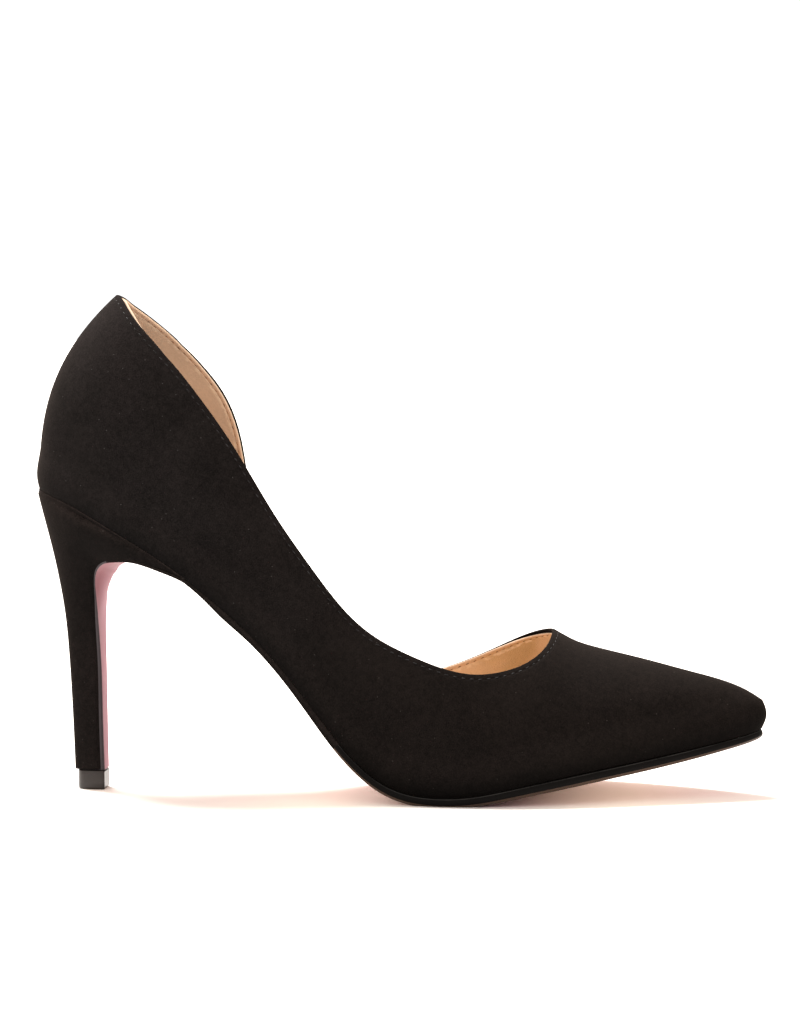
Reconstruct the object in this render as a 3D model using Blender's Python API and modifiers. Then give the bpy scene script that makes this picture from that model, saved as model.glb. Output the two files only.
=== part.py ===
"""Asymmetric pump for the right foot: a pointed suede court shoe on a slim covered heel.

The lateral wall runs whole from toe to heel. The medial wall is cut away at the arch. Five pieces: the
upper, the insole, the outsole with its breast flap, the covered heel and the top piece. X runs from heel to
toe, +Y is the medial side and Z is up. The tables hold millimetres, or shares of the driving sizes where they
say so.
"""
import math
from collections import namedtuple

import bmesh
import bpy
import numpy as np

MM = 0.001
LATERAL = -1
MEDIAL = 1

# Driving sizes
LENGTH = 227.4
BALL_WIDTH = 72.0
INSTEP_HEIGHT = 43.3
HEEL_HEIGHT = 95.0

# Piece sizes
WALL = 1.6
GAP = 0.3
INSOLE_THICK = 2.0
INSOLE_INSET = 2.4
INSOLE_OPEN_INSET = 0.3
BEVEL_THICK = 2.2
TOP_PIECE_HEIGHT = 6.0
TOP_PIECE_INSET = 0.25
TOP_PIECE_BACK_INSET = 0.75
TOE_SWING = 1.5
SWING_FROM = 130.0
SWELL_HEIGHT = 14.0
SWELL_LIFT = 1.7
NOSE_LENGTH = 22.0
NOSE_LIFT = 0.95

# Places along the length, measured from the back of the heel seat
THROAT_X = 162.1
HEEL_AXIS_X = 43.0
CUT_X = 64.0
CUT_SWEEP = 3.0
VAMP_END_X = 100.4
FLAP_FROM_X = 50.0
FLAP_LEAD_X = (70.0, 60.0, FLAP_FROM_X)
HEEL_FRONT_X = 45.0

# Mesh fineness
WALL_ROWS = 13
FINE_STEPS = 60
SHORTEST_STEP = 0.35
LOOSE_RUN = 45.0
HEEL_SIDE_POINTS = 14
MERGE_MM = 0.002

# One row for each section of the last. along is a share of LENGTH, feather of HEEL_HEIGHT, lateral and
# medial of BALL_WIDTH, ridge of INSTEP_HEIGHT above the feather line. ridge_y is how far in the ridge lies.
# crown and flank are the powers of the section's curve. swell is how far the wall swells above the sole.
Section = namedtuple("Section", "along feather lateral medial ridge ridge_y crown flank swell")
SECTIONS = [
    Section(0.0000, 1.0000, 0.000, 0.000, 1.725, 0.0, 2.75, 1.00, 0.9),
    Section(0.0220, 0.9821, 0.178, 0.178, 1.778, 0.0, 2.75, 1.00, 0.9),
    Section(0.0528, 0.9558, 0.264, 0.264, 1.857, 0.0, 2.80, 1.00, 0.9),
    Section(0.0967, 0.9032, 0.333, 0.331, 1.995, 0.0, 2.90, 1.00, 1.0),
    Section(0.1407, 0.8421, 0.357, 0.350, 2.217, 0.0, 3.00, 1.00, 1.0),
    Section(0.1891, 0.7695, 0.361, 0.343, 2.485, 0.0, 3.00, 1.00, 1.0),
    Section(0.2683, 0.6231, 0.354, 0.306, 2.079, 0.3, 2.75, 1.20, 1.0),
    Section(0.3254, 0.4953, 0.360, 0.288, 1.825, 0.4, 2.60, 1.35, 1.1),
    Section(0.3782, 0.3489, 0.382, 0.287, 1.663, 0.6, 2.45, 1.50, 1.1),
    Section(0.4310, 0.1900, 0.410, 0.303, 1.594, 1.0, 2.30, 1.60, 1.2),
    Section(0.4925, 0.0666, 0.456, 0.361, 1.594, 1.6, 2.15, 1.80, 1.3),
    Section(0.5541, 0.0307, 0.493, 0.431, 1.500, 2.2, 2.05, 1.90, 1.4),
    Section(0.6069, 0.0347, 0.507, 0.481, 1.335, 2.7, 2.00, 2.00, 1.5),
    Section(0.6596, 0.0579, 0.497, 0.506, 1.165, 3.1, 2.00, 2.00, 1.5),
    Section(0.7128, 0.0842, 0.463, 0.504, 1.000, 3.2, 2.00, 2.00, 1.5),
    Section(0.7388, 0.0963, 0.439, 0.492, 0.900, 3.1, 2.00, 2.00, 1.5),
    Section(0.7696, 0.1105, 0.405, 0.469, 0.816, 3.0, 2.05, 2.00, 1.5),
    Section(0.8355, 0.1389, 0.318, 0.387, 0.672, 2.6, 2.10, 2.05, 1.4),
    Section(0.9015, 0.1684, 0.220, 0.266, 0.519, 2.1, 2.20, 2.10, 1.4),
    Section(0.9499, 0.1916, 0.139, 0.164, 0.399, 1.8, 2.30, 2.20, 1.4),
    Section(0.9807, 0.2084, 0.083, 0.093, 0.294, 1.6, 2.40, 2.30, 1.4),
    Section(1.0000, 0.2221, 0.000, 0.000, 0.201, 1.5, 2.50, 2.40, 1.4),
]

# Height of the upper's edge above the feather line. behind is measured back from the throat, or from the
# arch cut.
EdgeRow = namedtuple("EdgeRow", "behind height")
LATERAL_EDGE = [
    EdgeRow(0.0, 43.3),
    EdgeRow(2.8, 38.7),
    EdgeRow(8.6, 36.2),
    EdgeRow(17.6, 35.8),
    EdgeRow(25.0, 36.9),
    EdgeRow(36.0, 40.0),
    EdgeRow(48.3, 42.6),
    EdgeRow(60.8, 42.1),
    EdgeRow(73.4, 42.2),
    EdgeRow(86.0, 45.1),
    EdgeRow(98.5, 53.3),
    EdgeRow(110.1, 60.1),
    EdgeRow(119.1, 64.2),
    EdgeRow(130.1, 65.4),
    EdgeRow(140.1, 64.6),
    EdgeRow(150.1, 63.5),
    EdgeRow(156.1, 62.6),
    EdgeRow(162.1, 60.9),
]
VAMP_EDGE = [
    EdgeRow(0.0, 43.3),
    EdgeRow(3.8, 43.3),
    EdgeRow(10.4, 42.2),
    EdgeRow(17.0, 40.4),
    EdgeRow(25.0, 37.9),
    EdgeRow(36.5, 33.8),
    EdgeRow(45.0, 29.1),
    EdgeRow(52.0, 20.8),
    EdgeRow(58.0, 10.3),
    EdgeRow(61.7, 1.5),
]
COUNTER_EDGE = [
    EdgeRow(0.0, 35.5),
    EdgeRow(1.0, 45.8),
    EdgeRow(2.0, 50.9),
    EdgeRow(3.0, 54.1),
    EdgeRow(4.0, 56.4),
    EdgeRow(6.0, 59.6),
    EdgeRow(8.0, 61.5),
    EdgeRow(12.0, 63.7),
    EdgeRow(16.0, 65.1),
    EdgeRow(21.0, 66.4),
    EdgeRow(26.0, 66.8),
    EdgeRow(32.0, 66.4),
    EdgeRow(42.0, 64.6),
    EdgeRow(52.0, 62.9),
    EdgeRow(58.0, 62.2),
    EdgeRow(64.0, 60.9),
]

# Thickness of the sole along the length, and how far its edge stands out from the feather line
SoleRow = namedtuple("SoleRow", "x thick stand_out")
SOLE = [
    SoleRow(50.0, 1.00, -0.1),
    SoleRow(56.0, 1.35, -0.1),
    SoleRow(62.0, 2.10, -0.1),
    SoleRow(68.0, 2.00, -0.1),
    SoleRow(74.0, 1.85, -0.1),
    SoleRow(86.0, 2.05, -0.1),
    SoleRow(98.0, 2.45, 0.1),
    SoleRow(108.0, 2.70, 0.2),
    SoleRow(117.0, 2.95, 0.3),
    SoleRow(138.0, 3.15, 0.4),
    SoleRow(160.0, 3.35, 0.5),
    SoleRow(190.0, 3.30, 0.5),
    SoleRow(210.0, 3.00, 0.3),
    SoleRow(227.4, 2.55, -0.35),
]

# The sole's side band: how far each line of it stands out, and its depth as a share of the thickness
BandRow = namedtuple("BandRow", "out depth")
SOLE_BAND = [
    BandRow(0.0, 0.0),
    BandRow(0.15, 0.4),
    BandRow(0.0, 0.72),
    BandRow(-0.9, 1.0),
]

# The breast flap's inner face, from the end of the waist down to the top piece
FlapRow = namedtuple("FlapRow", "x z half_width thick")
FLAP = [
    FlapRow(42.3, 71.1, 25.0, 0.90),
    FlapRow(37.1, 72.75, 24.3, 0.80),
    FlapRow(31.6, 73.8, 22.6, 0.75),
    FlapRow(26.15, 73.6, 19.9, 0.70),
    FlapRow(22.6, 72.8, 17.4, 0.65),
    FlapRow(20.1, 70.5, 15.2, 0.55),
    FlapRow(19.2, 67.7, 13.7, 0.50),
    FlapRow(18.65, 62.0, 11.2, 0.85),
    FlapRow(18.3, 57.0, 9.0, 1.25),
    FlapRow(18.3, 50.0, 7.0, 1.40),
    FlapRow(18.7, 40.0, 5.7, 1.40),
    FlapRow(18.9, 25.0, 5.3, 1.50),
    FlapRow(19.55, 6.3, 4.7, 1.30),
]

# The heel's back edge in profile
BackRow = namedtuple("BackRow", "z x")
HEEL_BACK = [
    BackRow(0.0, 11.1),
    BackRow(8.1, 10.8),
    BackRow(17.0, 10.45),
    BackRow(25.9, 10.05),
    BackRow(43.7, 9.0),
    BackRow(57.0, 7.75),
    BackRow(65.9, 6.3),
    BackRow(74.8, 4.45),
    BackRow(83.7, 2.2),
    BackRow(92.5, -0.2),
    BackRow(95.0, -0.9),
]

# One row for each ring of the heel. back_z is the ring's height at the back, breast its place along the
# flap, half_width its width at the breast and slim how far the seat's outline has turned into the stem's.
RingRow = namedtuple("RingRow", "back_z breast half_width slim")
HEEL_RINGS = [
    RingRow(93.2, 5.4, 25.7, 0.00),
    RingRow(90.4, 13.0, 24.9, 0.05),
    RingRow(86.6, 20.0, 22.9, 0.12),
    RingRow(82.2, 26.0, 19.8, 0.22),
    RingRow(79.7, 28.4, 18.1, 0.28),
    RingRow(77.4, 30.6, 16.6, 0.34),
    RingRow(75.0, 32.6, 15.4, 0.40),
    RingRow(72.3, 34.6, 14.3, 0.47),
    RingRow(68.8, 37.2, 13.1, 0.57),
    RingRow(64.5, 40.5, 11.7, 0.68),
    RingRow(58.0, 46.0, 9.4, 0.85),
    RingRow(49.0, 54.0, 7.2, 1.00),
    RingRow(38.5, 64.0, 6.1, 1.00),
    RingRow(22.0, 80.0, 5.6, 1.00),
    RingRow(6.3, 96.0, 5.0, 1.00),
]

# The top piece's levels, and how far each is drawn in to soften its edges
TipRow = namedtuple("TipRow", "z inset")
TOP_PIECE = [
    TipRow(0.0, 0.4),
    TipRow(0.4, 0.1),
    TipRow(TOP_PIECE_HEIGHT - 0.4, 0.0),
    TipRow(TOP_PIECE_HEIGHT, 0.2),
]


def clear_scene():
    for obj in list(bpy.data.objects):
        bpy.data.objects.remove(obj, do_unlink=True)


def spline(places, values):
    """A natural cubic spline through the points, as a function."""
    xs = np.array(places, float)
    ys = np.array(values, float)
    gaps = np.diff(xs)
    slopes = np.diff(ys) / gaps
    last = len(xs) - 1
    matrix = np.eye(last + 1)
    right = np.zeros(last + 1)
    for i in range(1, last):
        matrix[i, i - 1:i + 2] = gaps[i - 1], 2 * (gaps[i - 1] + gaps[i]), gaps[i]
        right[i] = 6 * (slopes[i] - slopes[i - 1])
    bends = np.linalg.solve(matrix, right)

    def value(x):
        i = int(np.clip(np.searchsorted(xs, x) - 1, 0, last - 1))
        ahead = xs[i + 1] - x
        past = x - xs[i]
        cubic = (bends[i] * ahead ** 3 + bends[i + 1] * past ** 3) / (6 * gaps[i])
        start = (ys[i] / gaps[i] - bends[i] * gaps[i] / 6) * ahead
        end = (ys[i + 1] / gaps[i] - bends[i + 1] * gaps[i] / 6) * past
        return float(cubic + start + end)

    return value


def column_spline(rows, place, column, place_size=1.0, size=1.0):
    places = [getattr(row, place) * place_size for row in rows]
    return spline(places, [getattr(row, column) * size for row in rows])


def squared_width(column):
    """Half-widths are splined as squares, so that the outline closes round at the heel and the toe."""
    places = [row.along * LENGTH for row in SECTIONS]
    return spline(places, [(getattr(row, column) * BALL_WIDTH) ** 2 for row in SECTIONS])


feather = column_spline(SECTIONS, "along", "feather", LENGTH, HEEL_HEIGHT)
ridge_height = column_spline(SECTIONS, "along", "ridge", LENGTH, INSTEP_HEIGHT)
ridge_y = column_spline(SECTIONS, "along", "ridge_y", LENGTH)
crown_power = column_spline(SECTIONS, "along", "crown", LENGTH)
flank_power = column_spline(SECTIONS, "along", "flank", LENGTH)
swell_size = column_spline(SECTIONS, "along", "swell", LENGTH)
width_squared = {LATERAL: squared_width("lateral"), MEDIAL: squared_width("medial")}
sole_thick = column_spline(SOLE, "x", "thick")
sole_stand_out = column_spline(SOLE, "x", "stand_out")
heel_back_x = column_spline(HEEL_BACK, "z", "x")


def edge_curve(rows, start):
    """The height of an edge at x, splined over the root of the distance, so that it starts round."""
    curve = spline([math.sqrt(row.behind) for row in rows], [row.height for row in rows])
    return lambda x: curve(math.sqrt(max(start - x, 0.0)))


lateral_edge = edge_curve(LATERAL_EDGE, THROAT_X)
vamp_edge = edge_curve(VAMP_EDGE, THROAT_X)
counter_edge = edge_curve(COUNTER_EDGE, CUT_X)


def swing(x):
    """How far the toe's middle line has swung to the medial side."""
    return TOE_SWING * max(0.0, (x - SWING_FROM) / (LENGTH - SWING_FROM)) ** 2


def half_width(side, x):
    return math.sqrt(max(width_squared[side](x), 0.0))


def outline(side, x):
    """The feather line's y at x, and its outward direction seen from above."""
    if x <= 0.0:
        return swing(x), (-1.0, 0.0)
    if x >= LENGTH:
        return swing(x), (1.0, 0.0)
    width = half_width(side, x)
    step = 0.01
    slope = (width_squared[side](x + step) - width_squared[side](x - step)) / (4 * step * width)
    size = math.hypot(slope, 1.0)
    return swing(x) + side * width, (-slope / size, side / size)


def swell(x, height):
    """The wall's swelling just above the sole, which is gone at SWELL_HEIGHT or at the ridge."""
    share = height / min(SWELL_HEIGHT, ridge_height(x))
    if share >= 1.0:
        return 0.0
    nose = max(0.0, 1.0 - (LENGTH - x) / NOSE_LENGTH) ** 2
    lift = SWELL_LIFT * (1.0 - share) * (1.0 - nose) + NOSE_LIFT * nose
    return lift * swell_size(x) * math.sin(math.pi * share)


def wall_point(side, x, height):
    """A point of the upper's outer face. Sections stand across the length, and fan round the heel's axis."""
    y, (out_x, out_y) = outline(side, x)
    axis_x = max(x, HEEL_AXIS_X)
    axis_y = ridge_y(axis_x)
    share = min(height / ridge_height(x), 1.0)
    reach = (1.0 - share ** crown_power(x)) ** (1.0 / flank_power(x))
    out = swell(x, height)
    return (
        axis_x + (x - axis_x) * reach + out * out_x,
        axis_y + (y - axis_y) * reach + out * out_y,
        feather(x) + height,
    )


def wall_line(side, x, top, foot_x):
    """Fine points up the wall from its foot at foot_x to its edge at x, and their distances from the foot."""
    ridge = ridge_height(x)
    power = crown_power(x)
    turn = math.asin(min(top / ridge, 1.0) ** (power / 2))
    heights = [top * i / FINE_STEPS for i in range(FINE_STEPS + 1)]
    heights += [ridge * math.sin(turn * i / FINE_STEPS) ** (2 / power) for i in range(FINE_STEPS)]
    heights.sort()
    places = [x + (foot_x - x) * max(0.0, 1.0 - height / top) ** 2 for height in heights]
    line = np.array([wall_point(side, place, height) for place, height in zip(places, heights)])
    steps = np.linalg.norm(np.diff(line, axis=0), axis=1)
    return line, np.concatenate([[0.0], np.cumsum(steps)])


def wall_column(side, x, top, loose=0.0, foot_x=None):
    """Points up the wall to its edge. A loose column has a whole section's rows, cut short at the edge."""
    foot_x = x if foot_x is None else foot_x
    line, places = wall_line(side, x, top, foot_x)
    whole = places[-1]
    if loose > 0.0:
        _, ridge_places = wall_line(side, x, ridge_height(x), foot_x)
        whole += (ridge_places[-1] - places[-1]) * loose
    step = whole / WALL_ROWS
    last = places[-1] - SHORTEST_STEP * step
    wanted = [i * step if i * step < last else places[-1] for i in range(WALL_ROWS + 1)]
    return np.stack([np.interp(wanted, places, line[:, i]) for i in range(3)], axis=1)


def looseness(x):
    """1 at the throat, where rows run on from the ridge, and 0 well behind, where they share out the wall."""
    share = min(1.0, (THROAT_X - x) / LOOSE_RUN)
    return 1.0 - share * share * (3.0 - 2.0 * share)


def spaced(start, end, count, power=1.0):
    """count places from just after start up to end, closer together near start where power is over 1."""
    return [start + (end - start) * (i / count) ** power for i in range(1, count + 1)]


def round_heel(count):
    """Places along the length that step evenly round the back of the heel."""
    return [HEEL_AXIS_X * (1.0 - math.sin(math.pi / 2 * i / count)) for i in range(1, count + 1)]


def new_material(name, colour, roughness):
    material = bpy.data.materials.new(name)
    material.use_nodes = True
    shader = material.node_tree.nodes["Principled BSDF"]
    shader.inputs["Base Color"].default_value = (*colour, 1.0)
    shader.inputs["Roughness"].default_value = roughness
    shader.inputs["Metallic"].default_value = 0.0
    material.diffuse_color = (*colour, 1.0)
    return material


def add_object(name, bm, collection, material, closed=True):
    """Make the object from its bmesh, with its points in metres and its faces shaded smooth."""
    bmesh.ops.remove_doubles(bm, verts=bm.verts, dist=MERGE_MM)
    bmesh.ops.dissolve_degenerate(bm, edges=bm.edges, dist=MERGE_MM / 2)
    if closed:
        bmesh.ops.recalc_face_normals(bm, faces=bm.faces)
    bmesh.ops.scale(bm, vec=(MM, MM, MM), verts=bm.verts)
    mesh = bpy.data.meshes.new(name)
    bm.to_mesh(mesh)
    bm.free()
    mesh.polygons.foreach_set("use_smooth", [True] * len(mesh.polygons))
    mesh.materials.append(material)
    obj = bpy.data.objects.new(name, mesh)
    collection.objects.link(obj)
    return obj


def add_grid(bm, columns, flip):
    """Faces between neighbouring columns of points."""
    grid = [[bm.verts.new(point) for point in column] for column in columns]
    for left, right in zip(grid, grid[1:]):
        for i in range(len(left) - 1):
            corners = [left[i], right[i], right[i + 1], left[i + 1]]
            bm.faces.new(corners[::-1] if flip else corners)


def add_rings(bm, rings):
    """A tube of faces through rings that all have the same number of points."""
    made = [[bm.verts.new(point) for point in ring] for ring in rings]
    for first, second in zip(made, made[1:]):
        for i in range(len(first)):
            j = (i + 1) % len(first)
            bm.faces.new([first[i], first[j], second[j], second[i]])
    return made


def cap_across(bm, ring):
    """Close a ring with a strip of faces from one half of it to the other."""
    for i in range(len(ring) // 2 - 1):
        bm.faces.new([ring[i], ring[i + 1], ring[-2 - i], ring[-1 - i]])


def make_upper(collection):
    """The outer face as an open sheet, then a wall of one thickness inwards."""
    toe = [LENGTH] + spaced(LENGTH, THROAT_X, 18, 1.7)
    quarter = spaced(THROAT_X, HEEL_AXIS_X, 30, 1.6)
    heel = round_heel(11)
    cut = spaced(CUT_X, HEEL_AXIS_X, 7, 1.7)
    lateral = [wall_column(LATERAL, x, ridge_height(x)) for x in toe]
    lateral += [wall_column(LATERAL, x, lateral_edge(x), looseness(x)) for x in quarter + heel]
    for x in heel[-2::-1] + cut[::-1] + [CUT_X]:
        share = max(0.0, (x - HEEL_AXIS_X) / (CUT_X - HEEL_AXIS_X))
        lateral.append(wall_column(MEDIAL, x, counter_edge(x), foot_x=x + CUT_SWEEP * share ** 2))
    vamp = [wall_column(MEDIAL, x, ridge_height(x)) for x in toe]
    vamp += [wall_column(MEDIAL, x, vamp_edge(x), 1.0) for x in spaced(THROAT_X, VAMP_END_X, 20, 1.4)]
    bm = bmesh.new()
    add_grid(bm, lateral, True)
    add_grid(bm, vamp, False)
    suede = new_material("black_suede_upper", (0.012, 0.011, 0.010), 0.9)
    obj = add_object("upper", bm, collection, suede, closed=False)
    wall = obj.modifiers.new("wall", "SOLIDIFY")
    wall.thickness = WALL * MM
    wall.offset = -1.0
    wall.use_quality_normals = True
    wall.use_rim = True
    return obj


def open_share(x):
    """1 along the arch cut, where no wall stands on the medial side, and 0 clear of it."""
    into = min(max((x - CUT_X - CUT_SWEEP - 1.0) / 4.0, 0.0), 1.0)
    past = min(max((VAMP_END_X - 1.5 - x) / 4.0, 0.0), 1.0)
    return min(into, past)


def make_insole(collection):
    """A plate inside the wall. It widens to the feather line along the arch cut."""
    places = [HEEL_AXIS_X * (1.0 - math.cos(math.pi / 2 * i / 10)) for i in range(10)]
    places += [HEEL_AXIS_X + (THROAT_X - HEEL_AXIS_X) * i / 28 for i in range(28)]
    places += spaced(LENGTH, THROAT_X, 13, 1.6)[::-1] + [LENGTH]
    rings = []
    for x in places:
        edges = {}
        for side in (LATERAL, MEDIAL):
            y, (out_x, out_y) = outline(side, x)
            inset = INSOLE_INSET
            if side == MEDIAL:
                inset += (INSOLE_OPEN_INSET - INSOLE_INSET) * open_share(x)
            edges[side] = (x - inset * out_x, y - inset * out_y)
        lower = [(px, py, feather(px)) for px, py in edges.values()]
        upper = [(px, py, feather(px) + INSOLE_THICK) for px, py in edges.values()]
        rings.append([lower[0], upper[0], upper[1], lower[1]])
    bm = bmesh.new()
    add_rings(bm, rings)
    return add_object("insole", bm, collection, new_material("beige_sock", (0.50, 0.33, 0.22), 0.7))


def flap_path():
    """Functions of the distance along the flap's inner face: its x, z, half-width and thickness, and its length."""
    xs = [*FLAP_LEAD_X] + [row.x for row in FLAP]
    zs = [feather(x) - GAP for x in FLAP_LEAD_X] + [row.z for row in FLAP]
    widths = [half_width(MEDIAL, x) for x in FLAP_LEAD_X] + [row.half_width for row in FLAP]
    thicks = [sole_thick(x) for x in FLAP_LEAD_X] + [row.thick for row in FLAP]
    steps = np.hypot(np.diff(xs), np.diff(zs))
    places = np.concatenate([[0.0], np.cumsum(steps)])
    places -= places[len(FLAP_LEAD_X) - 1]
    curves = [spline(places, values) for values in (xs, zs, widths, thicks)]
    return *curves, float(places[-1])


def sole_stations():
    """From the toe to the foot of the flap: x, z, direction along, edges, thickness and stand-out."""
    stations = []
    toe = [LENGTH] + spaced(LENGTH, THROAT_X, 16, 1.7)
    waist = [THROAT_X + (FLAP_FROM_X - THROAT_X) * i / 28 for i in range(1, 29)]
    for x in toe + waist:
        slope = (feather(x + 0.05) - feather(x - 0.05)) / 0.1
        size = math.hypot(1.0, slope)
        edges = {side: outline(side, x) for side in (LATERAL, MEDIAL)}
        along = (1 / size, slope / size)
        stations.append((x, feather(x) - GAP, along, edges, sole_thick(x), sole_stand_out(x)))
    flap_x, flap_z, flap_width, flap_thick, length = flap_path()
    lateral_more = half_width(LATERAL, FLAP_FROM_X) - half_width(MEDIAL, FLAP_FROM_X)
    for place in [length * i / 44 for i in range(1, 45)]:
        ahead_x = flap_x(place - 0.05) - flap_x(place + 0.05)
        ahead_z = flap_z(place - 0.05) - flap_z(place + 0.05)
        size = math.hypot(ahead_x, ahead_z)
        more = lateral_more * max(0.0, 1.0 - place / 20.0) ** 2
        width = flap_width(place)
        edges = {LATERAL: (-width - more, (0.0, -1.0)), MEDIAL: (width, (0.0, 1.0))}
        along = (ahead_x / size, ahead_z / size)
        stations.append((flap_x(place), flap_z(place), along, edges, flap_thick(place), sole_stand_out(FLAP_FROM_X)))
    return stations


def sole_ring(station):
    """A section of the sole: a flat top, a side band fullest at its middle and a bevelled bottom edge."""
    x, z, (along_x, along_z), edges, thick, stand_out = station
    bevel = min(1.0, thick / BEVEL_THICK)
    sides = []
    for side in (LATERAL, MEDIAL):
        y, (out_along, out_y) = edges[side]
        points = []
        for row in SOLE_BAND:
            out = stand_out + row.out * bevel
            px = x + out * out_along * along_x + row.depth * thick * along_z
            pz = z + out * out_along * along_z - row.depth * thick * along_x
            points.append((px, y + out * out_y, max(pz, 0.0)))
        sides.append(points)
    return sides[0] + sides[1][::-1]


def make_outsole(collection):
    """Sole and breast flap in one, through sections along the underside. The tread is flat on the floor."""
    bm = bmesh.new()
    rings = add_rings(bm, [sole_ring(station) for station in sole_stations()])
    bm.faces.new(rings[-1])
    return add_object("outsole", bm, collection, new_material("rose_sole", (0.62, 0.30, 0.30), 0.45))


def stem_share(along):
    """Half-width of the stem's D section at a share of the way from its breast to its back."""
    corner = min(1.0, 0.90 + 0.9 * along)
    return corner * (1.0 - along ** 3.2) ** (1 / 2.2)


def heel_ring(back, front, row=None):
    """A ring from breast to back on the lateral side and forward again on the medial. The seat has no row."""
    back_x, back_z = back
    front_x, front_z = front
    slim = row.slim if row else 0.0
    lateral = []
    medial = []
    seat_back = feather(0.0) - GAP
    seat_front = feather(HEEL_FRONT_X) - GAP
    for i in range(HEEL_SIDE_POINTS + 1):
        along = math.sin(math.pi / 2 * i / HEEL_SIDE_POINTS)
        seat_x = HEEL_FRONT_X * (1.0 - along)
        arch = feather(seat_x) - GAP - (seat_front + (seat_back - seat_front) * along)
        x = front_x + (back_x - front_x) * along
        z = front_z + (back_z - front_z) * along + arch * (1.0 - slim) ** 2
        for side, points in ((LATERAL, lateral), (MEDIAL, medial)):
            width = half_width(side, seat_x)
            if row:
                share = width / half_width(side, HEEL_FRONT_X)
                width = row.half_width * (share + (stem_share(along) - share) * slim)
            points.append((x, side * width, z))
    return lateral + medial[::-1]


def make_heel(collection):
    """The covered heel: rings from the seat, round the breast's curve and down the stem."""
    flap_x, flap_z, *_ = flap_path()
    seat_back = (0.0, feather(0.0) - GAP)
    seat_front = (HEEL_FRONT_X, feather(HEEL_FRONT_X) - GAP)
    rings = [heel_ring(seat_back, seat_front)]
    for row in HEEL_RINGS:
        ahead_x = flap_x(row.breast - 0.05) - flap_x(row.breast + 0.05)
        ahead_z = flap_z(row.breast - 0.05) - flap_z(row.breast + 0.05)
        size = math.hypot(ahead_x, ahead_z)
        front = (flap_x(row.breast) - GAP * ahead_z / size, flap_z(row.breast) + GAP * ahead_x / size)
        back = (heel_back_x(row.back_z), row.back_z)
        rings.append(heel_ring(back, front, row))
    bm = bmesh.new()
    made = add_rings(bm, rings)
    cap_across(bm, made[0])
    cap_across(bm, made[-1])
    return add_object("heel", bm, collection, new_material("black_suede_heel", (0.012, 0.011, 0.010), 0.9))


def make_top_piece(collection):
    """The hard tip under the stem and its flap, with softened edges."""
    rings = []
    for row in TOP_PIECE:
        lateral = []
        medial = []
        front_x = FLAP[-1].x + FLAP[-1].thick - row.inset
        back_x = HEEL_BACK[0].x + TOP_PIECE_BACK_INSET + row.inset
        half = HEEL_RINGS[-1].half_width - TOP_PIECE_INSET - row.inset
        for i in range(HEEL_SIDE_POINTS + 1):
            along = math.sin(math.pi / 2 * i / HEEL_SIDE_POINTS)
            x = front_x + (back_x - front_x) * along
            width = half * stem_share(along)
            lateral.append((x, -width, row.z))
            medial.append((x, width, row.z))
        rings.append(lateral + medial[::-1])
    bm = bmesh.new()
    made = add_rings(bm, rings)
    cap_across(bm, made[0])
    cap_across(bm, made[-1])
    return add_object("top_piece", bm, collection, new_material("hard_tip", (0.03, 0.027, 0.026), 0.35))


def centre_on_floor(objects):
    """Move the shoe so that its box is centred on the origin in plan."""
    bpy.context.view_layer.update()
    graph = bpy.context.evaluated_depsgraph_get()
    points = []
    for obj in objects:
        mesh = obj.evaluated_get(graph).to_mesh()
        points += [vertex.co.copy() for vertex in mesh.vertices]
        obj.evaluated_get(graph).to_mesh_clear()
    low = [min(point[i] for point in points) for i in range(2)]
    high = [max(point[i] for point in points) for i in range(2)]
    for obj in objects:
        for vertex in obj.data.vertices:
            vertex.co.x -= (low[0] + high[0]) / 2
            vertex.co.y -= (low[1] + high[1]) / 2


def main():
    clear_scene()
    collection = bpy.data.collections.new("asymmetric_pump")
    bpy.context.scene.collection.children.link(collection)
    makers = (make_upper, make_insole, make_outsole, make_heel, make_top_piece)
    centre_on_floor([maker(collection) for maker in makers])


main()
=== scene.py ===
"""The looks of the asymmetric pump, laid out as an add-on and run as a script.

Suede upper and heel cover, lining, sock, sole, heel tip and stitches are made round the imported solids, in
their frame. Shapes are in millimetres from the back of the heel seat, as the solids were drawn. Materials
and the stage are in the frame's metres.
"""
import math
from collections import namedtuple

import bmesh
import bpy
import numpy as np
from bpy.props import FloatProperty, FloatVectorProperty, IntProperty, PointerProperty
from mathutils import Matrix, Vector
from mathutils.bvhtree import BVHTree
from mathutils.kdtree import KDTree


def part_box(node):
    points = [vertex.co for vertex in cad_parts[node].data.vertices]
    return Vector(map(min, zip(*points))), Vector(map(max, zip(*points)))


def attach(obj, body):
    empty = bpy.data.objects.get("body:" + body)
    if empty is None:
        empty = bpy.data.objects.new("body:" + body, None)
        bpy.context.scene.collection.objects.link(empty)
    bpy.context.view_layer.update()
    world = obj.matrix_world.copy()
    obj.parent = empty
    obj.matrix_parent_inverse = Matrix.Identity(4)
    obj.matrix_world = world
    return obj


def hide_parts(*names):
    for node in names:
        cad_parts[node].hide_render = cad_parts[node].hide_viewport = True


bl_info = {
    "name": "Asymmetric pump",
    "version": (1, 0, 0),
    "blender": (4, 5, 0),
    "location": "View3D > Sidebar > Pump",
    "description": "Dresses the packed solids of a side cut suede pump",
    "category": "Object",
}

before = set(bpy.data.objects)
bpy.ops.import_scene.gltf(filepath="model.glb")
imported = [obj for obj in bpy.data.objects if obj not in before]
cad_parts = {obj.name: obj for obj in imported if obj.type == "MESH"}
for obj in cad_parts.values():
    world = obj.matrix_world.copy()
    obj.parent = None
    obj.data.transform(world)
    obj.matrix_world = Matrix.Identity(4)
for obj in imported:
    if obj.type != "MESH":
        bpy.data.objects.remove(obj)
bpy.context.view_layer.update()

MM = 0.001
LATERAL = -1
MEDIAL = 1
BODY = "root"

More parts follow.
